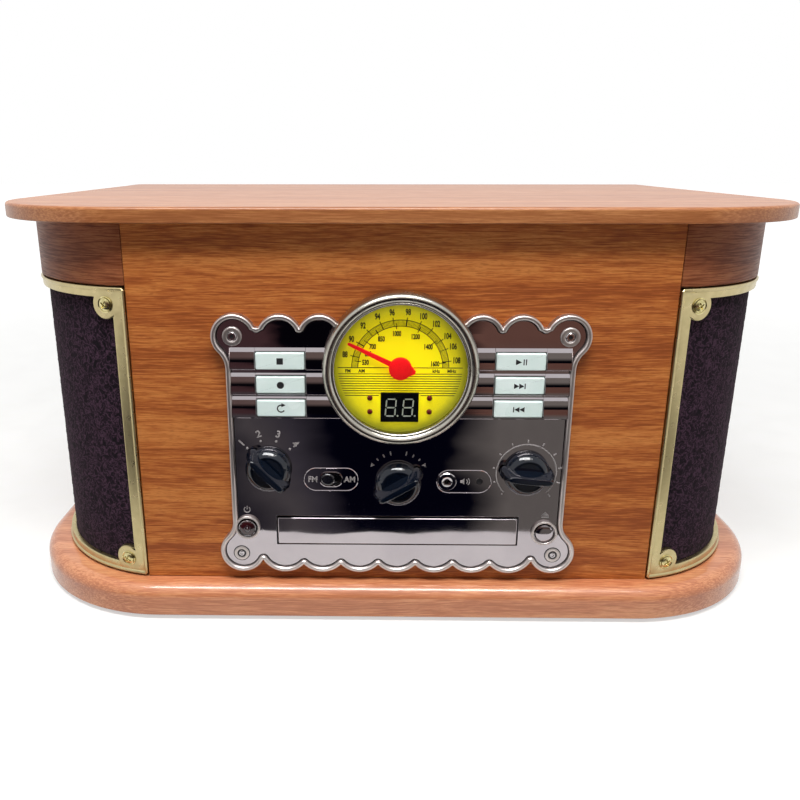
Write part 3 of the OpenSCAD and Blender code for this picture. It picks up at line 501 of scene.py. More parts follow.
def bow(
    radius: float, half: float, start: float, end: float, count: int, centre: Flat = (0, 0)
) -> list[Flat]:
    """Outline of a bent line.

    Args:
        radius: Radius of the line's middle.
        half: Half the line's width.
        start: First angle in degrees.
        end: Last angle in degrees.
        count: Points on each side of the line.
        centre: Centre of the bend.

    Returns:
        The points, out along the outer side and back along the inner one.
    """
    return ring(radius + half, count, centre, start, end) + ring(radius - half, count, centre, end, start)


def round_corner(radius: float, angle: float, up: float) -> tuple[float, float, float]:
    """Point round the right speaker corner's centre line, by the angle from the side to the front."""
    return (CORNER.x + radius * math.cos(angle), CORNER.y - radius * math.sin(angle), up)


def inset(outline: Sequence[Flat], depth: float) -> list[Flat]:
    """Moves a counter-clockwise outline inwards.

    Args:
        outline: Points of the outline.
        depth: How far; outwards if negative.

    Returns:
        As many points, moved along the middle of their two edges' normals.
    """
    moved = []
    for i, (x, y) in enumerate(outline):
        before = Vector((x, y)) - Vector(outline[i - 1])
        after = Vector(outline[(i + 1) % len(outline)]) - Vector((x, y))
        normals = [Vector((-e.y, e.x)).normalized() for e in (before, after) if e.length > 1e-6]
        middle = sum(normals, Vector((0, 0))).normalized()
        reach = depth / max(0.4, middle.dot(normals[0]))
        moved.append((x + middle.x * reach, y + middle.y * reach))
    return moved


def round_edge(thickness: float, radius: float, steps: int, foot: float = 0.0) -> Profile:
    """Profile of a slab's side with a round top edge.

    Args:
        thickness: Height of the slab.
        radius: Radius of its top edge.
        steps: Steps round the edge.
        foot: Radius of its bottom edge.

    Returns:
        Pairs of inset and height, from the bottom to the top.
    """
    bottom = [(foot * (1 - math.sin(a)), foot * (1 - math.cos(a))) for a in (0.0, math.pi / 4, math.pi / 2)]
    turns = [math.pi / 2 * i / steps for i in range(steps + 1)]
    top = [(radius * (1 - math.cos(a)), thickness - radius + radius * math.sin(a)) for a in turns]
    return (bottom if foot else [(0.0, 0.0)]) + top


def on_front(y: float, x: float = 0, z: float = 0, turn: float = 0) -> Matrix:
    """Puts a drawing on a face that looks to the front.

    Args:
        y: Place of the face.
        x: Place of the drawing's middle along X.
        z: Place of the drawing's middle along Z.
        turn: Turn in degrees, counter-clockwise as seen from the front.

    Returns:
        Matrix that turns right, up and out of the face into X, Z and -Y.
    """
    stand = Matrix(((1, 0, 0, 0), (0, 0, -1, 0), (0, 1, 0, 0), (0, 0, 0, 1)))
    return Matrix.Translation((x, y, z)) @ stand @ Matrix.Rotation(math.radians(turn), 4, "Z")


def flat_at(x: float, y: float, z: float, turn: float = 0) -> Matrix:
    """Puts a drawing flat at a height, turned by so many degrees."""
    return Matrix.Translation((x, y, z)) @ Matrix.Rotation(math.radians(turn), 4, "Z")


class Drawing:
    """Points and faces of one piece in millimetres."""

    def __init__(self) -> None:
        """Starts with nothing drawn."""
        self.points: list[Vector] = []
        self.faces: list[list[int]] = []

    def put(
        self, points: Sequence[Sequence[float]], faces: Sequence[Sequence[int]], place: Matrix = Matrix()
    ) -> "Drawing":
        """Adds points and the faces between them.

        Args:
            points: Two or three numbers each.
            faces: Numbers of their points.
            place: Matrix that puts them in their place.

        Returns:
            The drawing itself.
        """
        start = len(self.points)
        self.points += [place @ Vector((*p, 0)[:3]) for p in points]
        self.faces += [[start + i for i in face] for face in faces]
        return self

    def loft(
        self, loops: Sequence[Sequence[Sequence[float]]], place: Matrix = Matrix(), joined: bool = False
    ) -> "Drawing":
        """Skins a run of closed loops that have equally many points.

        Args:
            loops: The loops, in order.
            place: Matrix that puts them in their place.
            joined: Whether the last loop joins the first; otherwise both are capped.

        Returns:
            The drawing itself.
        """
        count, points = len(loops[0]), [p for loop in loops for p in loop]
        faces = []
        for k in range(len(loops) if joined else len(loops) - 1):
            here, there = k * count, (k + 1) % len(loops) * count
            for i in range(count):
                j = (i + 1) % count
                faces.append([here + i, here + j, there + j, there + i])
        if not joined:
            faces += [list(range(count))[::-1], [(len(loops) - 1) * count + i for i in range(count)]]
        return self.put(points, faces, place)

    def slab(
        self, outline: Sequence[Flat], profile: Profile, place: Matrix, joined: bool = False
    ) -> "Drawing":
        """Raises an outline through a profile of insets and heights, or makes a loop of that section."""
        loops = [[(*p, height) for p in inset(outline, depth)] for depth, height in profile]
        return self.loft(loops, place, joined)

    def lathe(self, profile: Profile, place: Matrix, count: int = 64, closed: bool = False) -> "Drawing":
        """Turns a profile of radii and heights about the drawing's upright axis."""
        loops = [[(*p, height) for p in ring(radius, count)] for radius, height in profile]
        return self.loft(loops, place, closed)

    def block(
        self, size: tuple[float, float, float], place: Matrix, radius: float, corner: float
    ) -> "Drawing":
        """Adds a block on its base, with round upright edges and a round top edge."""
        outline = rounded_box(size[0], size[1], corner)
        return self.slab(outline, round_edge(size[2], radius, 3, radius / 2), place)

    def outline_plate(
        self,
        outline: Sequence[Flat],
        holes: Sequence[Sequence[Flat]],
        thickness: float,
        edge: float,
        place: Matrix,
    ) -> "Drawing":
        """Adds a plate with holes, its edges rounded, from its base upwards.

        Args:
            outline: Its outer edge.
            holes: The edges of its holes.
            thickness: Its thickness.
            edge: Radius of all its edges.
            place: Matrix that puts it in its place.

        Returns:
            The drawing itself.
        """
        curve = bpy.data.curves.new("plate", "CURVE")
        curve.dimensions, curve.fill_mode = "2D", "BOTH"
        curve.extrude, curve.bevel_depth, curve.bevel_resolution = thickness / 2 - edge, edge, 1
        curve.offset = -edge
        for loop in (outline, *holes):
            spline = curve.splines.new("POLY")
            spline.points.add(len(loop) - 1)
            spline.points.foreach_set("co", [c for p in loop for c in (p[0], p[1], 0, 1)])
            spline.use_cyclic_u = True
        return self.from_curve(curve, place @ Matrix.Translation((0, 0, thickness / 2)))

    def lettering(
        self, text: str, height: float, place: Matrix, squeeze: float, thickness: float, bold: float
    ) -> "Drawing":
        """Adds figures or letters round a middle.

        Args:
            text: What it says.
            height: Height of a capital.
            place: Matrix that puts its middle in its place.
            squeeze: Width against the type's own.
            thickness: How far it stands up.
            bold: How much each stroke is widened on either side.

        Returns:
            The drawing itself.
        """
        curve = bpy.data.curves.new("letters", "FONT")
        curve.body, curve.size = text, height / 0.72
        curve.align_x, curve.align_y = "CENTER", "CENTER"
        curve.extrude, curve.offset, curve.resolution_u = thickness / 2, bold, 3
        return self.from_curve(curve, place @ Matrix.Diagonal((squeeze, 1, 1, 1)), centred=True)

    def from_curve(self, curve: bpy.types.Curve, place: Matrix, centred: bool = False) -> "Drawing":
        """Adds a curve's own mesh, moved to its middle if asked, and deletes the curve."""
        thing = bpy.data.objects.new(curve.name, curve)
        bpy.context.scene.collection.objects.link(thing)
        mesh = bpy.data.meshes.new_from_object(thing.evaluated_get(bpy.context.evaluated_depsgraph_get()))
        points = [v.co.copy() for v in mesh.vertices]
        if centred and points:
            middle = Vector([(min(c) + max(c)) / 2 for c in zip(*points)])
            points = [p - middle for p in points]
        self.put(points, [list(f.vertices) for f in mesh.polygons], place)
        bpy.data.objects.remove(thing)
        bpy.data.curves.remove(curve)
        bpy.data.meshes.remove(mesh)
        return self

    def mirrored(self) -> "Drawing":
        """Turns the drawing into its mirror image across X."""
        self.points = [Vector((-p.x, p.y, p.z)) for p in self.points]
        return self

    def piece(
        self,
        name: str,
        body: str,
        finish: Finish,
        stands_for: Sequence[str],
        slot: str,
        crease: float = 32.0,
        board: Callable[[Vector], Flat] | None = None,
    ) -> bpy.types.Object:
        """slot: Material slot of the record; not used.

        Args:
            name: Name of the piece.
            body: CAD body that it moves with.
            finish: Its finish.
            stands_for: CAD nodes that it is shown instead of, if any.
            slot: Material slot of the record.
            crease: Angle in degrees above which an edge stays sharp.
            board: Gives a point's place along and across a bent board, for its grain.

        Returns:
            The new object.
        """
        mesh = bpy.data.meshes.new(name)
        mesh.from_pydata([p * MM for p in self.points], [], self.faces)
        work = bmesh.new()
        work.from_mesh(mesh)
        bmesh.ops.remove_doubles(work, verts=work.verts, dist=1e-6)
        bmesh.ops.dissolve_degenerate(work, edges=work.edges, dist=1e-6)
        bmesh.ops.recalc_face_normals(work, faces=work.faces)
        work.to_mesh(mesh)
        work.free()
        mesh.shade_smooth()
        mesh.set_sharp_from_angle(angle=math.radians(crease))
        mesh.materials.append(finish.material())
        if board:
            layer = mesh.uv_layers.new(name="board")
            for corner in mesh.loops:
                layer.data[corner.index].uv = board(mesh.vertices[corner.vertex_index].co / MM)
        thing = bpy.data.objects.new(name, mesh)
        bpy.context.scene.collection.objects.link(thing)
        even = thing.modifiers.new("even_shading", "WEIGHTED_NORMAL")
        even.keep_sharp = True
        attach(thing, body)
        if stands_for:
            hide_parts(*stands_for)
        log.info("%s: %d faces on %s", name, len(mesh.polygons), body)
        return thing


def dress(finish: Finish, *nodes: str) -> None:
    """Gives CAD nodes that stay in view a finish.

    Args:
        finish: The finish.
        *nodes: The nodes' names.
    """
    for name in nodes:
        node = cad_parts[name]
        for material_slot in node.material_slots:
            material_slot.material = finish.material()
        log.info("%s: CAD node in %s", name, finish.name)


# Sub-assemblies


@dataclass
class Cabinet:
    """Wooden boards: plinth, front, sides, corner caps and lid."""

    half_w: float = 250.0
    half_d: float = 194.5
    plinth_z: float = 3.0
    plinth_t: float = 20.0
    plinth_round: float = 8.5
    plinth_corner: float = 100.0
    plinth_front: float = -190.0
    lid_z: float = 245.0
    lid_t: float = 9.0
    lid_corner: float = 93.0
    lid_front: float = -185.0
    body_top: float = 244.6
    cap_z: float = 209.2
    corner_r: float = 94.3
    inner_r: float = 82.3

    def board_loop(self, front: float, corner: float, back: float, depth: float) -> list[Flat]:
        """Outline of the plinth or lid, drawn in from its edge.

        Args:
            front: Y of its front edge.
            corner: Radius of its front corners.
            back: Radius of its back corners.
            depth: How far the outline is drawn in.

        Returns:
            Counter-clockwise points round the corners; the straight edges run between them.
        """
        w, y0, y1 = self.half_w, front, self.half_d
        turns = [
            (w - corner, y0 + corner, corner, 270, 48),
            (w - back, y1 - back, back, 0, 6),
            (back - w, y1 - back, back, 90, 6),
            (corner - w, y0 + corner, corner, 180, 48),
        ]
        return [p for x, y, r, a, n in turns for p in ring(max(r - depth, 0.01), n, (x, y), a, a + 90)]

    def board(self, front: float, corner: float, back: float, profile: Profile, z: float) -> Drawing:
        """Plinth or lid as a stack of its outlines."""
        outlines = [(self.board_loop(front, corner, back, depth), z + height) for depth, height in profile]
        return Drawing().loft([[(*p, up) for p in outline] for outline, up in outlines])

    def corner_cap(self) -> Drawing:
        """Bent block over the right speaker corner, its edges rounded."""
        middle_r, middle_z = (self.corner_r + self.inner_r) / 2, (self.cap_z + self.body_top) / 2
        section = rounded_box(self.corner_r - self.inner_r, self.body_top - self.cap_z, 1.0, 3)
        loops = []
        for i in range(49):
            loop = []
            for across, up in inset(section, 0.5 if i in (0, 48) else 0.0):
                radius = middle_r + across
                angle = math.acos((SEAM_X + 0.05 - CORNER.x) / radius) * (i / 48)
                loop.append(round_corner(radius, angle, middle_z + up))
            loops.append(loop)
        return Drawing().loft(loops)

    def unroll(self, point: Vector) -> Flat:
        """Place of a point of a corner cap along and across its board, in metres."""
        angle = math.atan2(CORNER.y - point.y, abs(point.x) - CORNER.x)
        return (angle * self.corner_r * MM, point.z * MM)

    def front_board(self) -> Drawing:
        """Front board with the openings behind the control panel."""
        height = self.body_top - PLINTH_TOP
        middle = (self.body_top + PLINTH_TOP) / 2
        holes = []
        keys = (32.5, 42.7)
        for x, z, *size in (
            (0, TRAY_Z, 150, 19.5), (-KEY_X, KEY_ZS[1], *keys), (KEY_X, KEY_ZS[1], *keys), (*BAND, 26, 12)
        ):
            holes.append(shifted(rounded_box(*size, 0.5, 1), (x, z - middle)))
        for (x, z), radius in (
            (SELECTOR, 5), (TUNING, 5), (VOLUME, 5), ((0, DIAL_Z), 5), (POWER, 8), (EJECT, 8), (SOCKET, 5.2)
        ):
            holes.append(ring(radius, 24, (x, z - middle)))
        outline = rounded_box(2 * SEAM_X - 0.2, height, 0.2, 1)
        place = on_front(BOARD_BACK_Y, 0, middle)
        return Drawing().outline_plate(outline, holes, BOARD_BACK_Y - FRONT_Y, 0.5, place)

    def build(self) -> None:
        """Makes the boards and dresses the CAD boards that stay."""
        edge = round_edge(self.plinth_t, self.plinth_round, 10, 0.8)
        back = self.plinth_round + 0.4
        plinth = self.board(self.plinth_front, self.plinth_corner, back, edge, self.plinth_z)
        plinth.piece("plinth_board", "cabinet", PLINTH_VENEER, ["plinth"], "wood")
        edge = round_edge(self.lid_t, 2.0, 5, 0.8)
        lid = self.board(self.lid_front, self.lid_corner, 3.0, edge, self.lid_z)
        lid.piece("lid_board", "lid_body", LID_VENEER, ["lid"], "wood")
        self.front_board().piece("front_board", "cabinet", FRONT_VENEER, ["front_panel"], "wood")
        for side, cap in (("left", self.corner_cap().mirrored()), ("right", self.corner_cap())):
            node = f"{side}_corner_cap"
            cap.piece(f"{side}_cap_board", "cabinet", CAP_VENEER_PAINTED_SHADE, [node], "wood", board=self.unroll)
        dress(SIDE_VENEER, "left_side_panel", "right_side_panel")
        dress(HARDBOARD, "back_panel")
        dress(RUBBER, "feet")


@dataclass
class SpeakerCorner:
    """Curved grille on one side: frame, cloth and the frame's two screws."""

    right: bool
    cloth_r: float = 91.0
    rise: float = 4.0
    bottom_z: float = 24.0
    top_z: float = 208.6
    rail: float = 6.6
    strip: float = 8.8
    lug_r: float = 8.8
    lug_s: float = 13.5
    lug_z: Flat = (34.0, 198.1)
    cloth_zs: Flat = (25.2, 207.9)
    seam_angle: float = 79.24

    @property
    def side(self) -> str:
        """Name of the side."""
        return "right" if self.right else "left"

    def bend(self, along: float, up: float, out: float) -> tuple[float, float, float]:
        """Wraps a flat point round the corner.

        Args:
            along: Way from the seam, along the face.
            up: Height.
            out: Height above the cloth.

        Returns:
            The point in space.
        """
        radius = self.cloth_r + out
        return round_corner(radius, self.seam(radius) - along / (self.cloth_r + self.rise), up)

    def seam(self, radius: float) -> float:
        """Angle at which a circle round the corner comes to the seam."""
        return math.acos((SEAM_X + 0.3 - CORNER.x) / radius)

    def window(self) -> tuple[list[Flat], list[Flat]]:
        """Inner and outer edges of the frame, matched point by point.

        Returns:
            The inner and the outer loop, in millimetres from the seam and up.
        """
        length = math.radians(self.seam_angle - 0.5) * (self.cloth_r + self.rise)
        low, high = self.bottom_z + self.rail, self.top_z - self.rail
        far, reach = length - self.strip, self.lug_r
        low_lug, high_lug = self.lug_z
        drop = math.degrees(math.asin((low_lug - low) / reach))
        lift = math.degrees(math.asin((high - high_lug) / reach))
        near = math.degrees(math.acos((self.lug_s - self.strip) / reach))
        inner: list[Flat] = []
        outer: list[Flat] = []

        def run(on_inner: Sequence[Flat], on_outer: Sequence[Flat], steps: range, last: int) -> None:
            """Adds points along two straight edges, each given by its ends."""
            for edge, (start, end) in ((inner, on_inner), (outer, on_outer)):
                edge.extend(tuple(a + (b - a) * i / last for a, b in zip(start, end)) for i in steps)

        # Bottom rail from the far side to the lug
        start = self.lug_s + reach * math.cos(math.radians(drop))
        bottom, top = self.bottom_z, self.top_z
        run(((far, low), (start, low)), ((length, bottom), (start, bottom)), range(40), 39)
        # Round the lower lug to the strip at the seam
        points = ring(reach, 13, (self.lug_s, low_lug), -drop, 180 - near)
        corner = 0.45
        for i, (_, z) in enumerate(points):
            share = i / (len(points) - 1)
            if share < corner:
                outer.append((start * (1 - share / corner), bottom))
            else:
                outer.append((0.0, bottom + (z - bottom) * (share - corner) / (1 - corner)))
        inner += points
        # Up the strip
        ends = (points[-1][1], high_lug - reach * math.sin(math.radians(near)))
        run([(self.strip, z) for z in ends], [(0.0, z) for z in ends], range(1, 24), 24)
        # Round the upper lug to the top rail
        points = ring(reach, 13, (self.lug_s, high_lug), 180 + near, 360 + lift)
        corner = 0.55
        for i, (s, z) in enumerate(points):
            share = i / (len(points) - 1)
            if share < corner:
                outer.append((0.0, z + (top - z) * share / corner))
            else:
                outer.append((s * (share - corner) / (1 - corner), top))
        inner += points
        # Top rail to the far side and down it
        start = points[-1][0]
        run(((start, high), (far, high)), ((start, top), (length, top)), range(1, 40), 39)
        run(((far, high), (far, low)), ((length, top), (length, bottom)), range(1, 12), 12)
        return inner, outer

    def frame(self) -> Drawing:
        """Frame with a raised bead along its outer edge, a flat band inside it and rounded inner edges."""
        inner, outer = self.window()
        bead = [(0.0, 0.0), (0.0, 2.9), (0.25, 3.6), (0.8, 4.0), (1.5, 4.0), (2.1, 3.7), (2.5, 3.2)]
        outer_loops = [(self.shrunk(outer, depth), height) for depth, height in bead]
        lip = [(-0.9, 3.1), (-0.3, 2.9), (0.0, 2.3), (0.0, 0.0)]
        inner_loops = [(self.grown(inner, depth), height) for depth, height in lip]
        loops = [[self.bend(s, z, height) for s, z in loop] for loop, height in outer_loops + inner_loops]
        return Drawing().loft(loops, joined=True)

    def shrunk(self, outer: Sequence[Flat], depth: float) -> list[Flat]:
        """Outer edge drawn in, by moving each side of its rectangle."""
        (s0, s1), (z0, z1) = ((min(values), max(values)) for values in zip(*outer))
        return [
            (min(max(s, s0 + depth), s1 - depth), min(max(z, z0 + depth), z1 - depth)) for s, z in outer
        ]

    def grown(self, inner: Sequence[Flat], depth: float) -> list[Flat]:
        """Inner edge moved into the frame by minus depth."""
        turned = inset(inner[::-1], depth)[::-1]
        back = inset(inner, depth)
        return back if self.spread(back) > self.spread(turned) else turned

    @staticmethod
    def spread(loop: Sequence[Flat]) -> float:
        """How far a loop reaches from side to side."""
        return max(s for s, _ in loop) - min(s for s, _ in loop)

    def cloth(self) -> Drawing:
        """Stretched cloth with its curls standing a little out of it."""
        columns, rows = 84, 120
        wide = columns + 1
        low, high = self.cloth_zs
        seam = self.seam(self.cloth_r)
        drawing = Drawing()
        for face in (0, 1):
            points = []
            for j in range(rows + 1):
                z = low + (high - low) * j / rows
                for i in range(wide):
                    angle = 0.012 + (seam - 0.02) * i / columns
                    spot = Vector((math.cos(angle) * 90, math.sin(angle) * 90, z)) / 2.4
                    bump = noise.noise(spot) * 0.28
                    points.append(round_corner(self.cloth_r - 0.35 + bump - 0.5 * face, angle, z))
            starts = [j * wide + i for j in range(rows) for i in range(columns)]
            faces = [[k, k + 1, k + wide + 1, k + wide] for k in starts]
            drawing.put(points, [f[:: 1 - 2 * face] for f in faces])
        edge = [*range(wide), *(j * wide + columns for j in range(1, rows + 1))]
        edge += [rows * wide + i for i in range(columns - 1, -1, -1)]
        edge += [j * wide for j in range(rows - 1, 0, -1)]
        behind = wide * (rows + 1)
        drawing.faces += [[a, b, b + behind, a + behind] for a, b in zip(edge, edge[1:] + edge[:1])]
        return drawing

    def screw(self, z: float) -> Drawing:
        """Round-head cross screw in its dished washer, on the lug."""
        angle = self.seam(self.cloth_r + 3.2) - self.lug_s / (self.cloth_r + self.rise)
        out = Matrix.Rotation(math.radians(90), 4, "Y")
        place = Matrix.Translation((CORNER.x, CORNER.y, z)) @ Matrix.Rotation(-angle, 4, "Z")
        place = place @ Matrix.Translation((self.cloth_r, 0, 0)) @ out @ Matrix.Rotation(0.5, 4, "Z")
        return cross_screw(3.7, 3.0, place)

    def build(self) -> None:
        """Makes the corner's pieces."""
        screws = Drawing()
        for z in self.lug_z:
            made = self.screw(z)
            screws.put(made.points, made.faces)
        strips, weave = self.frame(), self.cloth()
        if not self.right:
            for drawing in (screws, strips, weave):
                drawing.mirrored()
        node = f"{self.side}_grille_"
        strips.piece(f"{self.side}_frame", "cabinet", BRASS, [node + "frame"], "brass")
        name, hidden = f"{self.side}_cloth", [node + "cloth"]
        cloth = weave.piece(name, "cabinet", GRILLE_CLOTH, hidden, "grille_cloth", 180)
        screws.piece(f"{self.side}_frame_screws", "cabinet", BRIGHT_BRASS, ["front_screws"], "brass")


def cross_screw(radius: float, base: float, place: Matrix) -> Drawing:
    """Draws a domed screw head with a cross recess and a ring round it.

    Args:
        radius: Radius of the head.
        base: Height of the seat above the place.
        place: Matrix that puts it in its place, facing along its own Z.

    Returns:
        The drawing.
    """
    rings, count = 14, 48
    loops = [[(x, y, base - 1.5) for x, y in ring(radius, count)]]
    for k in range(rings + 1):
        share = 1 - k / rings
        loop = []
        for x, y in ring(radius * share, count):
            dome = 1.7 * math.sqrt(max(0.0, 1 - 0.8 * share * share)) - 0.2
            arm = min(abs(x), abs(y)) / 0.42
            reach = max(abs(x), abs(y)) / (radius * 0.62)
            cut = 1.0 if arm < 1 and reach < 1 else 0.0
            loop.append((x, y, base + dome - 0.9 * cut))
        loops.append(loop)
    lip = [(0.35, -0.5), (1.2, -0.5), (1.2, 0.35), (0.8, 0.6), (0.35, 0.3)]
    lip = [(radius + out, base + up) for out, up in lip]
    return Drawing().loft(loops, place).lathe(lip, place, count, closed=True)


@dataclass
class Sweep:
    """One arc of the control panel's outline."""

    centre: Flat
    radius: float
    start: float
    end: float
    hollow: bool = False

    def steps(self) -> list[tuple[Vector, Vector]]:
        """Points of the arc, each with the direction out of the panel."""
        count = max(4, round(abs(self.end - self.start) * self.radius / 70))
        found = []
        for x, y in ring(self.radius, count, self.centre, self.start, self.end):
            out = (Vector((x, y)) - Vector(self.centre)).normalized()
            found.append((Vector((x, y)), -out if self.hollow else out))
        return found


@dataclass
class ControlPanel:
    """Scalloped plate with its rim, bars, rings and marks."""

    waist_x: float = 102.0
    lobe_x: float = 96.5
    top_z: float = 181.0
    top_lobe_r: float = 13.3
    low_z: float = 43.6
    low_lobe_r: float = 14.0
    flare_r: float = 14.0
    pitch: float = 23.35
    top_scallop_r: float = 13.0
    low_scallop_r: float = 16.0
    low_scallop_z: float = 45.4
    plate_t: float = 3.0
    rib_zs: tuple[float, ...] = (167.8, 152.6, 138.2)
    rib_w: float = 13.1
    rib_h: float = 2.3
    top_cut: float = 5.4  # height of the straight top edge and the cusps over the top lobes' centres
    straight_x: float = 30.0
    key_gap: Flat = (14.75, 5.45)  # half the opening round a key
    dial_gap_r: float = 44.6
    card_x: float = 34.0
    card_z: float = 170.0
    low_rim_h: float = 4.2

    def half_edge(self) -> list[tuple[Vector, Vector]]:
        """Right half of the outline from its top middle down to its bottom middle.

        Returns:
            Points, each with the direction out of the panel. Where two arcs meet in a cusp, the point comes
            again with each direction between theirs, so that the edge turns round it.
        """
        def end_angle(radius: float) -> float:
            """Angle at which a top arc comes down to the cusps' height."""
            return math.degrees(math.asin(self.top_cut / radius))

        scallop, lobe = end_angle(self.top_scallop_r), end_angle(self.top_lobe_r)
        sweeps = [
            Sweep((i * self.pitch, self.top_z), self.top_scallop_r, 180 - scallop, scallop) for i in (2, 3)
        ]
        sweeps[0].start = 153  # near the straight top edge
        top_touch = self.flare_angle(self.top_lobe_r)
        low_touch = self.flare_angle(self.low_lobe_r)
        sweeps.append(Sweep((self.lobe_x, self.top_z), self.top_lobe_r, 180 - lobe, -top_touch))
        flare_x = self.waist_x + self.flare_r
        top_flare = self.top_z - (self.top_lobe_r + self.flare_r) * math.sin(math.radians(top_touch))
        low_flare = self.low_z + (self.low_lobe_r + self.flare_r) * math.sin(math.radians(low_touch))
        sweeps.append(Sweep((flare_x, top_flare), self.flare_r, 180 - top_touch, 180, True))
        sweeps.append(Sweep((flare_x, low_flare), self.flare_r, 180, 180 + low_touch, True))
        gap = Vector((self.lobe_x, self.low_z)) - Vector((3 * self.pitch, self.low_scallop_z))
        along = (gap.length**2 + self.low_lobe_r**2 - self.low_scallop_r**2) / (2 * gap.length)
        tilt = math.degrees(math.atan2(-gap.y, -gap.x))
        lobe_end = tilt + math.degrees(math.acos(along / self.low_lobe_r)) - 360
        along = gap.length - along
        tilt = math.degrees(math.atan2(gap.y, gap.x))
        scallop_start = tilt - math.degrees(math.acos(along / self.low_scallop_r))
        sweeps.append(Sweep((self.lobe_x, self.low_z), self.low_lobe_r, low_touch, lobe_end))
        cusp = math.degrees(math.acos(self.pitch / 2 / self.low_scallop_r))
        for i in (3, 2, 1, 0):
            begin = scallop_start if i == 3 else -cusp
            end = -90 if i == 0 else -180 + cusp
            sweeps.append(Sweep((i * self.pitch, self.low_scallop_z), self.low_scallop_r, begin, end))
        edge = [(Vector((x, self.top_z + self.top_cut)), Vector((0, 1))) for x in (0, self.straight_x)]
        for sweep in sweeps:
            steps = sweep.steps()
            last, first = edge[-1], steps[0]
            turn = last[1].angle(first[1]) if len(edge) > 2 else 0
            if turn > 0.2:
                spot = (last[0] + first[0]) / 2
                edge += [(spot, last[1].slerp(first[1], k / 8)) for k in range(1, 8)]
            edge += steps
        return edge

    def flare_angle(self, lobe_r: float) -> float:
        """Angle below the horizontal at which a lobe runs into its flare."""
        return math.degrees(math.acos((self.waist_x + self.flare_r - self.lobe_x) / (lobe_r + self.flare_r)))

    def edge(self, depth: float) -> list[Flat]:
        """Whole outline drawn in by depth, counter-clockwise."""
        right = [point - out * depth for point, out in self.half_edge()]
        return [(p.x, p.y) for p in right[::-1]] + [(-p.x, p.y) for p in right]

    def rim(self) -> Drawing:
        """Raised rim, rounded on top, and lower where it runs under the dial card."""
        section = [(0.3, 0.0), (0.0, 0.4), (0.0, 4.2), (0.2, 4.9), (0.6, 5.35), (1.1, 5.5), (1.8, 5.5)]
        section += [(2.35, 5.3), (2.8, 4.7), (3.0, 3.9), (3.0, 0.5)]

        def height_under(x: float, z: float, height: float) -> float:
            """Height of the rim at a place, kept low under the dial card."""
            return min(height, self.low_rim_h) if abs(x) < self.card_x and z > self.card_z else height

        loops = []
        for depth, height in section:
            loops.append([(x, z, height_under(x, z, height)) for x, z in self.edge(depth)])
        return Drawing().loft(loops, on_front(FRONT_Y), joined=True)

    def plate(self, back: bool) -> Drawing:
        """Plate inside the rim, or the black backing that shows in the groove round it.

        Args:
            back: Whether it is the backing.

        Returns:
            The drawing.
        """
        key = rounded_box(29.3, 10.8, 0.5, 2)
        holes = [shifted(key, (side * KEY_X, z)) for side in (-1, 1) for z in KEY_ZS]
        gap = 0.0 if back else 0.9
        holes.append(shifted(rounded_box(149.3 + gap, 18.8 + gap, 0.5, 2), (0, TRAY_Z)))
        holes.append(shifted(rounded_box(22.4, 18.4, 0.3, 1), (0, DISPLAY_Z)))
        holes += [ring(3.3, 20, at) for at in (SELECTOR, TUNING, VOLUME)]
        holes += [ring(6.0, 32, POWER), ring(6.1, 32, EJECT), shifted(rounded_box(13, 8.5, 4.2, 8), BAND)]
        holes += [ring(4.1, 24, SOCKET), ring(2.0, 20, (AUX[0] + 9.4, AUX[1]))]
        half, depth = self.plate_t / 2, 2.9 if back else 3.55
        place = on_front(FRONT_Y if back else FRONT_Y - half)
        return Drawing().outline_plate(self.edge(depth), holes[:-1] if back else holes, half, 0.06, place)

    def bars(self) -> Drawing:
        """Three rounded bars, steep at the top and flat below, broken where the keys and the bezel stand."""
        drawing = Drawing()
        half = self.rib_w / 2
        slopes = (34, 28, 22, 18, 16, 14, 12, 10, 8, 6.5, 5, 3, 0)
        section = [(half, 0.05)]
        for slope in slopes:
            step = (self.rib_w - 0.5) / len(slopes)
            y, h = section[-1]
            section.append((y - step, h + step * math.tan(math.radians(slope))))
        tall = section[-1][1]
        section = [(y, h * self.rib_h / tall) for y, h in section]
        section += [(-half + 0.1, self.rib_h - 0.35), (-half, self.rib_h - 0.8), (-half, -0.3), (half, -0.3)]
        reach = self.waist_x - 2.6
        key_edge = (KEY_X - self.key_gap[0], KEY_X + self.key_gap[0])
        for z, key_z in zip(self.rib_zs, KEY_ZS):
            middle = math.sqrt(self.dial_gap_r**2 - (z - DIAL_Z) ** 2)
            for side in (-1, 1):
                for x0, x1 in ((middle - 2, key_edge[0]), (key_edge[1], reach)):
                    self.bar(drawing, section, side * x0, side * x1, z)
                self.key_frame(drawing, section, side, z, key_z, key_edge)
        return drawing

    def bar(self, drawing: Drawing, section: Sequence[Flat], x0: float, x1: float, z: float) -> None:
        """Adds one length of bar."""
        low, high = min(x0, x1), max(x0, x1)
        ends = [(low, 0.25), (low + 0.3, 0.0), (high - 0.3, 0.0), (high, 0.25)]
        loops = [[(x, up, height - drop) for up, height in section] for x, drop in ends]
        drawing.loft(loops, on_front(FIELD_Y, 0, z))

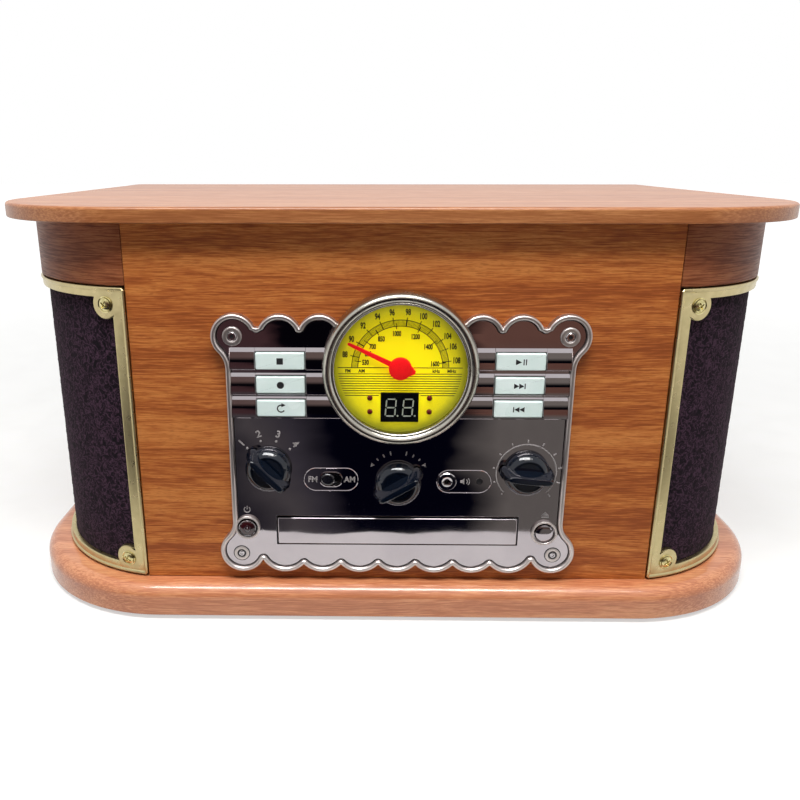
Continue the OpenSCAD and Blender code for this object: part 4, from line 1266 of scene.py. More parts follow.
    def key_frame(
        self, drawing: Drawing, section: Sequence[Flat], side: int, z: float, key_z: float, across: Flat
    ) -> None:
        """Adds the slips of bar above and below a key.

        Args:
            drawing: Drawing to add to.
            section: Outline of the bar across its length.
            side: Side of the panel.
            z: Height of the bar.
            key_z: Height of the key.
            across: Both ends of the key's gap, from the middle.
        """
        for up in (-1, 1):
            edge = key_z - z + up * self.key_gap[1]
            outer = up * self.rib_w / 2
            if (outer - edge) * up < 0.4:
                continue
            part = sorted(((y, h) for y, h in section[:16] if (y - edge) * up > 0), reverse=True)
            near = (edge, self.height_at(section, edge))
            if up > 0:
                part += [near, (edge, -0.3), (outer, -0.3)]
            else:
                part = [near, *part, (outer, -0.3), (edge, -0.3)]
            loops = [[(side * x, y, h) for y, h in part] for x in across]
            drawing.loft(loops, on_front(FIELD_Y, 0, z))

    @staticmethod
    def height_at(section: Sequence[Flat], place: float) -> float:
        """Height of the bar's curve at a place across it."""
        return min(section[:14], key=lambda p: abs(p[0] - place))[1]

    def rings(self) -> Drawing:
        """Polished rings round the two buttons and the corner screws."""
        drawing = Drawing()

        def hoop(at: Flat, inner: float, outer: float, height: float) -> None:
            """Adds a ring with a round crown."""
            middle, half = (inner + outer) / 2, (outer - inner) / 2
            crown = [(middle + half * math.cos(a), height - half * 0.8 + half * 0.8 * math.sin(a))
                     for a in (math.pi * k / 8 for k in range(9))]
            drawing.lathe([(outer, -0.3), *crown, (inner, -0.3)], on_front(FIELD_Y, *at), closed=True)

        hoop(POWER, 6.3, 7.7, 2.0)
        hoop(EJECT, 6.6, 8.0, 2.0)
        washers = (
            [(5.7, -0.2), (5.7, 0.8), (5.2, 1.3), (3.6, 1.3), (3.0, 0.9), (3.0, -0.2)],
            [(4.6, -0.2), (4.6, 0.4), (4.4, 0.55), (3.0, 0.55), (2.8, 0.4), (2.8, -0.2)],
        )
        for side in (-1, 1):
            for washer, x, z in zip(washers, (SCREW_X - 0.1, SCREW_X), SCREW_ZS):
                drawing.lathe(washer, on_front(FIELD_Y, side * x, z), closed=True)
        return drawing

    def grooves(self) -> Drawing:
        """Black washers in which the screws sit."""
        drawing = Drawing()
        for side in (-1, 1):
            for radius, z in zip((3.1, 5.2), SCREW_ZS):
                disc = [(0, -0.2), (radius, -0.2), (radius - 0.05, 0.12), (radius - 0.2, 0.16), (0, 0.16)]
                drawing.lathe(disc, on_front(FIELD_Y, side * SCREW_X, z))
        return drawing

    def pills(self) -> Drawing:
        """Thin lines round the band switch and the socket."""
        drawing = Drawing()
        thin = [(0, -0.2), (0.05, 0.3), (0.27, 0.45), (0.5, 0.3), (0.55, -0.2)]
        for at in (BAND, AUX):
            drawing.slab(rounded_box(33.5, 15.3, 7.6, 12), thin, on_front(FIELD_Y, *at), joined=True)
        wide = [(-0.5, -0.2), (-0.4, 0.4), (0, 0.5), (0.25, -0.2)]
        return drawing.slab(rounded_box(13.6, 9.1, 4.5, 8), wide, on_front(FIELD_Y, *BAND), joined=True)

    def marks(self) -> Drawing:
        """Raised generic marks: places of the selector, ramp of the volume, arrows and signs."""
        drawing = Drawing()

        def place(at: Flat, radius: float, angle: float) -> Matrix:
            """Place on a circle round a knob, turned to face out of it."""
            x = at[0] + radius * math.cos(math.radians(angle))
            z = at[1] + radius * math.sin(math.radians(angle))
            return on_front(FIELD_Y, x, z, angle - 90)

        edge, fine = round_edge(0.4, 0.1, 2), round_edge(0.4, 0.05, 2)
        for number, angle in enumerate((134.0, 104.0, 74.0, 44.0), 1):
            drawing.lathe([(0.75, 0), (0.7, 0.3), (0.3, 0.45), (0, 0.5)], place(SELECTOR, 18.2, angle), 12)
            drawing.lettering(str(number), 4.4, place(SELECTOR, 23.0, angle), 1.0, 0.5, 0.12)
        arc = bow(18.2, 0.3, 225, -45, 60)
        drawing.slab(arc[::-1], [(0.0, 0.0), (0.0, 0.25)], on_front(FIELD_Y, *VOLUME))
        for k in range(11):
            tall = 0.9 + 0.16 * k
            drawing.block((0.75, tall, 0.4), place(VOLUME, 19.4 + tall / 2, 225 - 27 * k), 0.1, 0.15)
        for side in (-1, 1):
            for k in range(3):
                angle = 90 + side * (14 + 13 * k)
                drawing.block((0.75, 2.6 - 0.5 * k, 0.4), place(TUNING, 19.6, angle), 0.1, 0.15)
            aside = place(TUNING, 19.6, 90 + side * 54) @ Matrix.Rotation(math.radians(90 * side), 4, "Z")
            drawing.slab([(0, 1.4), (-1.3, -0.9), (1.3, -0.9)], edge, aside)
        for text, x in (("FM", -11.2), ("AM", 11.2)):
            drawing.lettering(text, 3.6, on_front(FIELD_Y, BAND[0] + x, BAND[1]), 0.95, 0.5, 0.12)
        horn = [(-2.2, -0.8), (-1.0, -0.8), (0.3, -2.0), (0.3, 2.0), (-1.0, 0.8), (-2.2, 0.8)]
        drawing.slab(horn, edge, on_front(FIELD_Y, *AUX))
        for radius in (1.9, 3.1):
            drawing.slab(bow(radius, 0.22, -42, 42, 9, (0.3, 0)), fine, on_front(FIELD_Y, *AUX))
        top = on_front(FIELD_Y, POWER[0], POWER[1] + 11.6)
        drawing.slab(bow(1.85, 0.25, 125, 415, 25), fine, top)
        drawing.block((0.5, 2.2, 0.4), top @ Matrix.Translation((0, 1.3, 0)), 0.05, 0.1)
        top = on_front(FIELD_Y, EJECT[0], EJECT[1] + 12.0)
        drawing.slab([(-2.3, -0.5), (2.3, -0.5), (0, 2.0)], edge, top)
        drawing.block((4.6, 0.8, 0.4), top @ Matrix.Translation((0, -1.6, 0)), 0.05, 0.1)
        return drawing

    def screws(self) -> Drawing:
        """Socket screws in the four corners."""
        drawing = Drawing()
        sunk = [(2.6, -2.0), (2.6, 0.6), (2.2, 0.9), (1.25, 0.9), (1.15, 0.3), (1.1, -1.2)]
        heads = (
            [(0, -2.0), *sunk, (0, -1.2)],
            [(0, 0.1), (1.8, 0.1), (1.8, 0.5), (1.6, 0.8), (0.95, 0.85), (0.85, 0.2), (0, 0.2)],
        )
        for side in (-1, 1):
            for head, x, z in zip(heads, (SCREW_X - 0.05, SCREW_X), SCREW_ZS):
                drawing.lathe(head, on_front(FIELD_Y, side * x, z), 24)
        return drawing

    def build(self) -> None:
        """Makes the panel's pieces."""
        chrome, black = "smoked_chrome", "black_plastic"
        for name, drawing, finish, slot, crease in (
            ("plate", self.plate(False), SMOKED_CHROME, chrome, 32),
            ("backing", self.plate(True), BLACK_ABS, black, 32),
            ("rim", self.rim(), RIM_SATIN, chrome, 60),
            ("bars", self.bars(), SMOKED_CHROME, chrome, 32),
            ("rings", self.rings(), RIM_SATIN, chrome, 50),
            ("pills", self.pills(), SMOKED_CHROME, chrome, 50),
            ("washers", self.grooves(), BLACK_ABS, black, 32),
            ("marks", self.marks(), SILVER_INK, "bright_chrome", 32),
        ):
            drawing.piece(f"panel_{name}", "cabinet", finish, ["control_panel"], slot, crease)
        self.screws().piece("panel_screws", "cabinet", EDGE_CHROME, ["front_screws"], "bright_chrome")


@dataclass
class Dial:
    """Round tuning dial: bezel, lens, card with its print, display, lamps and pointer."""

    face_r: float = 38.0
    bezel_r: float = 45.25
    fm: tuple[tuple[str, float], ...] = (
        ("88", 166), ("90", 149), ("92", 131), ("94", 114), ("96", 99), ("98", 83), ("100", 67), ("102", 52),
        ("104", 35), ("106", 23), ("108", 8),
    )
    am: tuple[tuple[str, float], ...] = (
        ("530", 171), ("600", 156), ("700", 142), ("850", 123), ("1000", 96), ("1200", 65), ("1400", 38),
        ("1600", 7),
    )
    needle_angle: float = 154.0
    needle_y: float = FIELD_Y - 4.0

    def bezel(self) -> Drawing:
        """Turned ring with a round crown, a groove and an inner bead."""
        crown = [(0.0, 0.0), (0.0, 7.6), (0.3, 9.2), (1.0, 10.7), (2.0, 11.7), (3.0, 12.0), (4.0, 11.8)]
        crown += [(4.9, 11.2), (5.4, 10.6), (5.6, 10.5), (5.8, 10.8), (6.3, 11.0), (6.9, 10.6)]
        profile = [(self.bezel_r - depth, height) for depth, height in crown]
        lip = [(0.0, 9.9), (0.0, 8.9), (1.5, 8.9), (1.5, 0.0)]
        profile += [(self.face_r + out, height) for out, height in lip]
        return Drawing().lathe(profile, on_front(FIELD_Y, 0, DIAL_Z), 128, closed=True)

    def lens(self) -> Drawing:
        """Domed lens held behind the bezel's inner lip."""
        front, back = [], []
        for k in range(25):
            radius = 39.3 * (1 - (k / 24) ** 1.6)
            share = radius / 39.3
            dome = 1.0 * (1 - share**2) + 1.3 * (1 - share**10)
            front.append((radius, 8.7 + dome))
            back.append((radius, 7.4 + dome))
        return Drawing().lathe(back[::-1] + front, on_front(FIELD_Y, 0, DIAL_Z), 96)

    def print(self) -> Drawing:
        """Scales, figures and lines on the card."""
        drawing = Drawing()
        thick = 0.06
        flat = [(0, 0.0), (0, thick)]

        def stroke(x0: float, y0: float, x1: float, y1: float, width: float) -> None:
            """Adds one straight line."""
            way = Vector((x1 - x0, y1 - y0))
            angle = math.degrees(math.atan2(way.y, way.x))
            box = [(0, -width / 2), (way.length, -width / 2), (way.length, width / 2), (0, width / 2)]
            drawing.slab(box, flat, on_front(CARD_Y, x0, DIAL_Z + y0, angle))

        def ray(angle: float, r0: float, r1: float, width: float) -> None:
            """Adds a line that points away from the centre."""
            c, s = math.cos(math.radians(angle)), math.sin(math.radians(angle))
            stroke(r0 * c, r0 * s, r1 * c, r1 * s, width)

        for radius in (28.2, 24.6):
            drawing.slab(bow(radius, 0.2, 0, 180, 90), flat, on_front(CARD_Y, 0, DIAL_Z))
        for k in range(1, 118):
            ray(180 * k / 118, 24.8, 28.0, 0.26)
        for text, angle in self.fm:
            ray(angle, 24.6, 29.8, 0.5)
            self.figure(drawing, text, angle, 33.0, 3.5)
        for text, angle in self.am:
            ray(angle, 22.9, 26.6, 0.5)
            self.figure(drawing, text, angle, 20.4, 3.0)
        line_r, display_x, display_y = 36.2, 12.2, -15.5
        for y in (0.0, -3.7, *(-5.2 - 1.45 * k for k in range(9))):
            half = math.sqrt(line_r**2 - y * y)
            beside_display = [(-half, -display_x), (display_x, half)]
            for x0, x1 in beside_display if y < display_y else [(-half, half)]:
                stroke(x0, y, x1, y, 0.42 if y else 0.5)
        for text, x in (("FM", -30.4), ("AM", -22.5), ("kHz", 21.0), ("MHz", 30.0)):
            drawing.lettering(text, 2.0, on_front(CARD_Y, x, DIAL_Z - 1.9), 0.95, 2 * thick, 0.1)
        return drawing

    @staticmethod
    def figure(drawing: Drawing, text: str, angle: float, radius: float, height: float) -> None:
        """Adds an upright number on a circle round the centre."""
        x, z = radius * math.cos(math.radians(angle)), radius * math.sin(math.radians(angle))
        drawing.lettering(text, height, on_front(CARD_Y, x, DIAL_Z + z), 0.62, 0.12, 0.2)

    def digits(self) -> Drawing:
        """Two unlit seven-segment figures with their points."""
        drawing = Drawing()
        wide, tall, lean, stroke = 5.6, 10.4, 0.08, 0.8
        italic = Matrix(((1, lean, 0, 0), (0, 1, 0, 0), (0, 0, 1, 0), (0, 0, 0, 1)))
        for middle in (-5.2, 4.9):
            place = on_front(FIELD_Y - 2.9, middle, DISPLAY_Z) @ italic
            bars = [(0, tall / 2, 0), (0, 0, 0), (0, -tall / 2, 0)]
            bars += [(x, y, 90) for x in (-wide / 2, wide / 2) for y in (-tall / 4, tall / 4)]
            for x, y, turn in bars:
                half = (wide if turn == 0 else tall / 2) / 2 - 0.35
                shape = [(-half, 0), (-half + 0.5, -stroke / 2), (half - 0.5, -stroke / 2), (half, 0)]
                shape += [(half - 0.5, stroke / 2), (-half + 0.5, stroke / 2)]
                at = place @ Matrix.Translation((x, y, 0)) @ Matrix.Rotation(math.radians(turn), 4, "Z")
                drawing.slab(shape, round_edge(0.12, 0.05, 2), at)
            drawing.lathe([(0.55, 0), (0.5, 0.12), (0, 0.12)], place @ Matrix.Translation((4.5, -5.1, 0)), 16)
        return drawing

    def pointer(self) -> Drawing:
        """Needle on a domed hub with a short tail."""
        drawing = Drawing()
        turned = on_front(self.needle_y, 0, DIAL_Z, self.needle_angle)
        blade = [(2, -1.7), (30, -1.05), (33.4, -0.85), (34, 0), (33.4, 0.85), (30, 1.05), (2, 1.7)]
        drawing.slab(blade, round_edge(1.0, 0.4, 3), turned)
        tail = [(-9.0, 0.9), (-9.0, -0.9), (-4, -4.6), (-2, -4.0), (-2, 4.0), (-4, 4.6)]
        drawing.slab(tail, round_edge(1.6, 0.5, 3), turned @ Matrix.Rotation(math.radians(12), 4, "Z"))
        dome = [(0, -0.6), (6.7, -0.6), (6.7, 1.2), (6.4, 1.9), (5.4, 2.4), (3.4, 2.7), (0, 2.8)]
        drawing.lathe(dome, turned)
        return drawing

    def build(self) -> None:
        """Makes the dial's pieces."""
        self.bezel().piece("bezel_ring", "cabinet", BEZEL_CHROME, ["dial_bezel"], "bright_chrome", 60)
        self.lens().piece("lens_dome", "cabinet", LENS, ["dial_lens"], "clear_lens", 60)
        dress(DIAL_CARD, "dial_plate")
        self.print().piece("dial_print", "cabinet", INK, (), "dial_yellow")
        window = Drawing().block((22.4, 18, 2.9), on_front(FIELD_Y, 0, DISPLAY_Z), 0.3, 0.4)
        window.piece("display_window", "cabinet", WINDOW_BLACK, ["display_panel"], "display_black")
        self.digits().piece("display_digits", "cabinet", SEGMENT_GREY, (), "display_black")
        lamps = Drawing()
        dome = [(0, -2), (1.65, -2), (1.65, 0.4), (1.4, 0.9), (0.8, 1.2), (0, 1.3)]
        for x in (-17.5, 17.5):
            for z in (136.2, 144.6):
                lamps.lathe(dome, on_front(CARD_Y, x, z), 20)
        lamps.piece("dial_lamps", "cabinet", LAMP_RED, ["display_panel"], "display_black")
        self.pointer().piece("pointer_needle", "pointer_body", POINTER_RED, ["dial_pointer"], "pointer_red")
        drum = [(1.5, -26), (16, -26), (16, -25.2), (15, -24.6), (15, -21.9), (16, -21.3), (16, -20.5)]
        rod = [(0, -34), (1.5, -34), *drum, (1.5, -20.5), (1.5, -0.5), (0, -0.5)]
        spindle = Drawing().lathe(rod, on_front(self.needle_y, 0, DIAL_Z), 48)
        spindle.piece("pointer_spindle", "pointer_body", STEEL, ["dial_pointer"], "pointer_red")


@dataclass
class Knob:
    """Pointer knob: flared round skirt with a flat top and a tall lens-shaped grip across it."""

    name: str
    body: str
    at: Flat
    angle: float
    drum: bool = False

    def skirt(self) -> Profile:
        """Radii and heights of the round part."""
        side = [(0, 0.0), (13.5, 0.0), (13.9, 0.4), (14.0, 1.4), (13.8, 2.6), (13.2, 3.9), (12.3, 5.1)]
        return side + [(11.3, 6.1), (10.4, 6.8), (9.9, 7.1), (9.4, 7.15), (9.0, 6.9), (8.4, 6.75), (0, 6.7)]

    def grip(self, drawing: Drawing) -> None:
        """Adds the grip: a straight bar with blunt, sloped ends, hollow flanks and a narrow crest."""
        place = on_front(FIELD_Y - 0.5, *self.at, self.angle)
        loops = []
        foot_end, crest_end, top = 16.4, 13.2, 14.9
        for k in range(25):
            share = -1 + k / 12
            swell = 1 - 0.35 * abs(share) ** 3
            closing = 0.55 if k in (0, 24) else 1.0
            base, crest = 4.6 * swell * closing, 2.2 * swell * closing
            drop = 0.5 * share * share + (0.5 if k in (0, 24) else 0.0)
            loop = []
            flank = [(base, 1.0), (base, 3.6), (base * 0.78 + crest * 0.22, 6.4), (crest * 1.3, 10.6)]
            for width, height in (
                *flank, (crest * 1.04, top - 0.9), (crest * 0.8, top - 0.2), (crest * 0.4, top)
            ):
                reach = foot_end + (crest_end - foot_end) * max(0.0, (height - 3.6) / (top - 3.6))
                loop.append((share * reach, width, height - drop * height / top))
            loops.append(loop + [(x, -w, h) for x, w, h in loop[::-1]])
        drawing.loft(loops, place)

    def build(self) -> None:
        """Makes the knob and its shaft."""
        drawing = Drawing().lathe(self.skirt(), on_front(FIELD_Y - 0.5, *self.at), 96)
        self.grip(drawing)
        drawing.piece(self.name + "_cap", self.body, KNOB_PLASTIC, [self.name], "knob_plastic", 40)
        shaft = [(0, 0.3), (3, 0.3), (3, -29.5), (0, -29.5)]
        if self.drum:
            drum = [(3, -16.5), (8, -16.5), (8, -17.5), (7, -18), (7, -20.5), (8, -21), (8, -22), (3, -22)]
            shaft[2:2] = drum
        rod = Drawing().lathe(shaft, on_front(FIELD_Y, *self.at), 32)
        rod.piece(self.name + "_shaft", self.body, STEEL, [self.name], "knob_plastic")


class Sign(Enum):
    """Transport sign on a key: polygons in millimetres round its middle."""

    STOP = (((-1.5, -1.5), (1.5, -1.5), (1.5, 1.5), (-1.5, 1.5)),)
    RECORD = (tuple(ring(1.7, 24)),)
    REPEAT = (
        tuple(ring(2.0, 20, (0, 0), 60, 330) + ring(1.4, 20, (0, 0), 330, 60)),
        ((0.2, 2.7), (0.2, 0.7), (2.2, 1.7)),
    )
    PLAY = (
        ((-2.6, -1.4), (0.2, 0), (-2.6, 1.4)),
        ((0.9, -1.4), (1.4, -1.4), (1.4, 1.4), (0.9, 1.4)),
        ((2.0, -1.4), (2.5, -1.4), (2.5, 1.4), (2.0, 1.4)),
    )
    NEXT = (
        ((-2.8, -1.3), (-0.4, 0), (-2.8, 1.3)),
        ((-0.4, -1.3), (2.0, 0), (-0.4, 1.3)),
        ((2.1, -1.3), (2.6, -1.3), (2.6, 1.3), (2.1, 1.3)),
    )
    PREVIOUS = (
        ((2.8, 1.3), (0.4, 0), (2.8, -1.3)),
        ((0.4, 1.3), (-2.0, 0), (0.4, -1.3)),
        ((-2.6, -1.3), (-2.1, -1.3), (-2.1, 1.3), (-2.6, 1.3)),
    )


@dataclass
class Key:
    """Rectangular push key with its sign."""

    name: str
    sign: Sign
    at: Flat
    sign_scale: float = 1.25
    stem_y: float = -157.3

    def build(self) -> None:
        """Makes the key with its flange and stem, and its sign."""
        body = self.name.replace("_button", "_body")
        drawing = Drawing()
        cap = rounded_box(28.5, 10, 0.7, 3)
        crown = [(0.0, -7.6), (0.0, -0.75), (0.12, -0.35), (0.4, -0.12), (0.8, 0.0)]
        place = on_front(FIELD_Y - 3.0, *self.at)
        drawing.slab(cap, crown, place)
        drawing.block((30.9, 12.2, 1.3), on_front(FIELD_Y + 4.6, *self.at), 0.2, 0.5)
        drawing.block((6, 4, 17.1), on_front(self.stem_y, *self.at), 0.2, 0.5)
        drawing.piece(self.name + "_cap", body, KEY_PLASTIC, [self.name], "white_plastic", 50)
        sign = Drawing()
        for polygon in self.sign.value:
            bigger = [(x * self.sign_scale, y * self.sign_scale) for x, y in polygon]
            sign.slab(bigger, [(0, -0.1), (0, 0.06), (0.03, 0.08)], place)
        sign.piece(self.name + "_sign", body, KEY_INK, (), "white_plastic")


class FrontControls:
    """Round buttons, band slide, socket and disc tray front."""

    def button(self, at: Flat, radius: float, proud: float) -> Drawing:
        """Round button with a domed face and a flange behind the plate."""
        profile = [(0, -11), (radius, -11), (radius, -5.9), (7, -5.9), (7, -3.4), (radius, -3.4)]
        profile += [(radius, proud - 0.9), (radius - 0.2, proud - 0.35), (radius - 0.7, proud - 0.1)]
        profile += [(radius * 0.7, proud + 0.25), (radius * 0.4, proud + 0.4), (0, proud + 0.45)]
        return Drawing().lathe(profile, on_front(FIELD_Y, *at), 64)

    def build(self) -> None:
        """Makes the controls."""
        cap = self.button(POWER, 5.0, 2.6)
        cap.piece("power_cap", "power_body", POWER_RED, ["power_button"], "red_plastic")
        hoop = [(5.0, 0.4), (5.35, 0.4), (5.35, 2.3), (5.2, 2.6), (5.0, 2.5)]
        lip = Drawing().lathe(hoop, on_front(FIELD_Y, *POWER), 64, closed=True)
        lip.piece("power_lip", "power_body", EDGE_CHROME, (), "bright_chrome")
        sign = Drawing()
        sign.slab(bow(1.75, 0.25, 130, 410, 21), [(0, 0), (0, 0.5)], on_front(FIELD_Y - 2.6, *POWER))
        sign.block((0.5, 2.0, 0.5), on_front(FIELD_Y - 2.6, POWER[0], POWER[1] + 1.2), 0.05, 0.1)
        sign.piece("power_sign", "power_body", EDGE_CHROME, (), "bright_chrome")
        cap = self.button(EJECT, 5.5, 1.9)
        cap.piece("eject_cap", "open_body", SMOKED_CHROME, ["open_button"], "smoked_chrome")
        nub_at = (BAND[0] - 2, BAND[1])
        crown = [(0, -3.2), (0, 0.5), (0.25, 1.1), (0.8, 1.5), (1.8, 1.7)]
        nub = Drawing().slab(rounded_box(8.6, 8.0, 3.9, 8), crown, on_front(FIELD_Y, *nub_at))
        nub.block((19, 10.6, 1.7), on_front(FRONT_Y + 2, *nub_at), 0.2, 0.4)
        stem_y = -156.4
        nub.block((4, 3, 16.5), on_front(stem_y, *nub_at), 0.2, 0.3)
        nub.piece("band_slide", "band_body", GLOSS_BLACK, ["band_switch"], "black_plastic")
        collar = [(4, -18), (4, 0), (5.7, 0), (5.7, 0.6), (5.3, 1.0), (3.2, 1.0), (2.6, 0.6), (1.85, 0.4)]
        bore = [(1.85, -15), (1.0, -15.0), (1.0, -18)]
        jack = Drawing().lathe(collar + bore, on_front(FIELD_Y, *SOCKET), 48, closed=True)
        jack.piece("aux_socket", "cabinet", EDGE_CHROME, ["aux_jack"], "black_plastic")
        front = rounded_box(148, 17.5, 0.6, 3)
        tray = Drawing().slab(front, round_edge(5.2, 0.5, 4, 0.2), on_front(FRONT_Y + 1, 0, TRAY_Z))
        tray.piece("tray_front", "tray_body", SMOKED_CHROME, ["cd_tray_front"], "smoked_chrome")


@dataclass
class RecordDeck:
    """Record deck under the lid."""

    platter: Flat = (-60.0, 5.0)
    mat_z: float = 214.0
    arm: Flat = (118.0, 100.0)
    arm_z: float = 230.0
    arm_length: float = 212.0

    def mat(self) -> Drawing:
        """Ribbed mat with a raised rim."""
        profile: Profile = [(4.8, 0.0), (96.0, 0.0), (96.0, 1.7), (95.6, 2.0), (93.5, 2.0)]
        for radius in range(92, 54, -5):
            profile += [(radius + 0.7, 2.0), (radius + 0.4, 1.5), (radius - 0.4, 1.5), (radius - 0.7, 2.0)]
        profile += [(50.0, 2.0), (49.5, 1.3), (12.0, 1.3), (11.5, 2.0), (4.8, 2.0)]
        return Drawing().lathe(profile, flat_at(*self.platter, self.mat_z), 96, closed=True)

    def on_arm(self, axis: str) -> Matrix:
        """Place at the arm's pivot, with a drawing's upright axis along the arm or, for Y, across it."""
        return Matrix.Translation((*self.arm, self.arm_z)) @ Matrix.Rotation(math.pi / 2, 4, axis)

    def arm_tube(self) -> Drawing:
        """Arm tube, pivot block and the stub that carries the weight."""
        tube = [(0, -40), (3.4, -40), (3.6, -39.6), (3.6, 180), (3.2, 184), (3.2, 199.6), (0, 200)]
        drawing = Drawing().lathe(tube, self.on_arm("X"), 32)
        drawing.block((11.6, 16, 10), flat_at(*self.arm, self.arm_z - 5), 0.8, 1.5)
        return drawing.lathe([(0, -9), (1.5, -9), (1.5, 9), (0, 9)], self.on_arm("Y"), 24)

    def build(self) -> None:
        """Makes the mat and the arm, and dresses the deck."""
        self.mat().piece("ribbed_mat", "platter_body", MAT_RUBBER, ["slip_mat"], "felt")
        self.arm_tube().piece("arm_tube", "arm_body", ALUMINIUM, ["tonearm"], "arm_metal")
        drum = [(3.7, -38), (10.9, -38), (11.5, -37.4), (11.5, -24.6), (11.1, -24), (10.2, -24)]
        dial = [(10.2, -22.8), (11.2, -22.6), (11.2, -18.4), (10.8, -18), (3.7, -18)]
        weight = Drawing().lathe(drum + dial, self.on_arm("X"), 64, closed=True)
        weight.piece("arm_weight", "arm_body", DARK_PAINT, ["tonearm"], "arm_metal")
        x, tip = self.arm[0], self.arm[1] - self.arm_length
        shell = Drawing().block((18, 34, 3), flat_at(x, tip + 7, self.arm_z - 4.5), 0.6, 2.5)
        shell.block((10.5, 4, 1.6), flat_at(x + 13.6, tip + 8, self.arm_z - 4.2), 0.4, 1.2)
        shell.piece("arm_headshell", "arm_body", BLACK_ABS, ["tonearm"], "black_plastic")
        cartridge = Drawing().block((14, 20, 3.1), flat_at(x, tip + 4, self.arm_z - 7.4), 0.3, 1.0)
        cartridge.lathe([(0.1, 0), (0.5, 0.4), (0.5, 1.2), (0, 1.2)], flat_at(x, tip, self.arm_z - 8), 12)
        cartridge.piece("arm_cartridge", "arm_body", CARTRIDGE_RED, ["tonearm"], "red_plastic")
        dress(BLACK_ABS, "turntable_deck", "tonearm_base")
        dress(ALUMINIUM, "platter", "platter_spindle", "tonearm_yoke", "cue_lever", "speed_switch")
        dress(STEEL, "turntable_motor")
        dress(HINGE_BRASS, "motor_pulley", "hinge_plates", "hinge_leaves", "lid_stay")
        dress(BELT_RUBBER, "drive_belt")


class Works:
    """What is inside the cabinet and on its back and side."""

    def build(self) -> None:
        """Dresses the inner CAD nodes."""
        dress(BAFFLE_BOARD, "speaker_baffles")
        dress(DARK_PAINT, "speakers", "transformer", "cassette_mechanism")
        dress(CIRCUIT, "main_board")
        dress(BLACK_ABS, "cd_tray", "rear_sockets", "cassette_door")
        dress(STEEL, "cd_chassis", "cd_spindle")
        dress(CREAM_PLASTIC, "cassette_key")


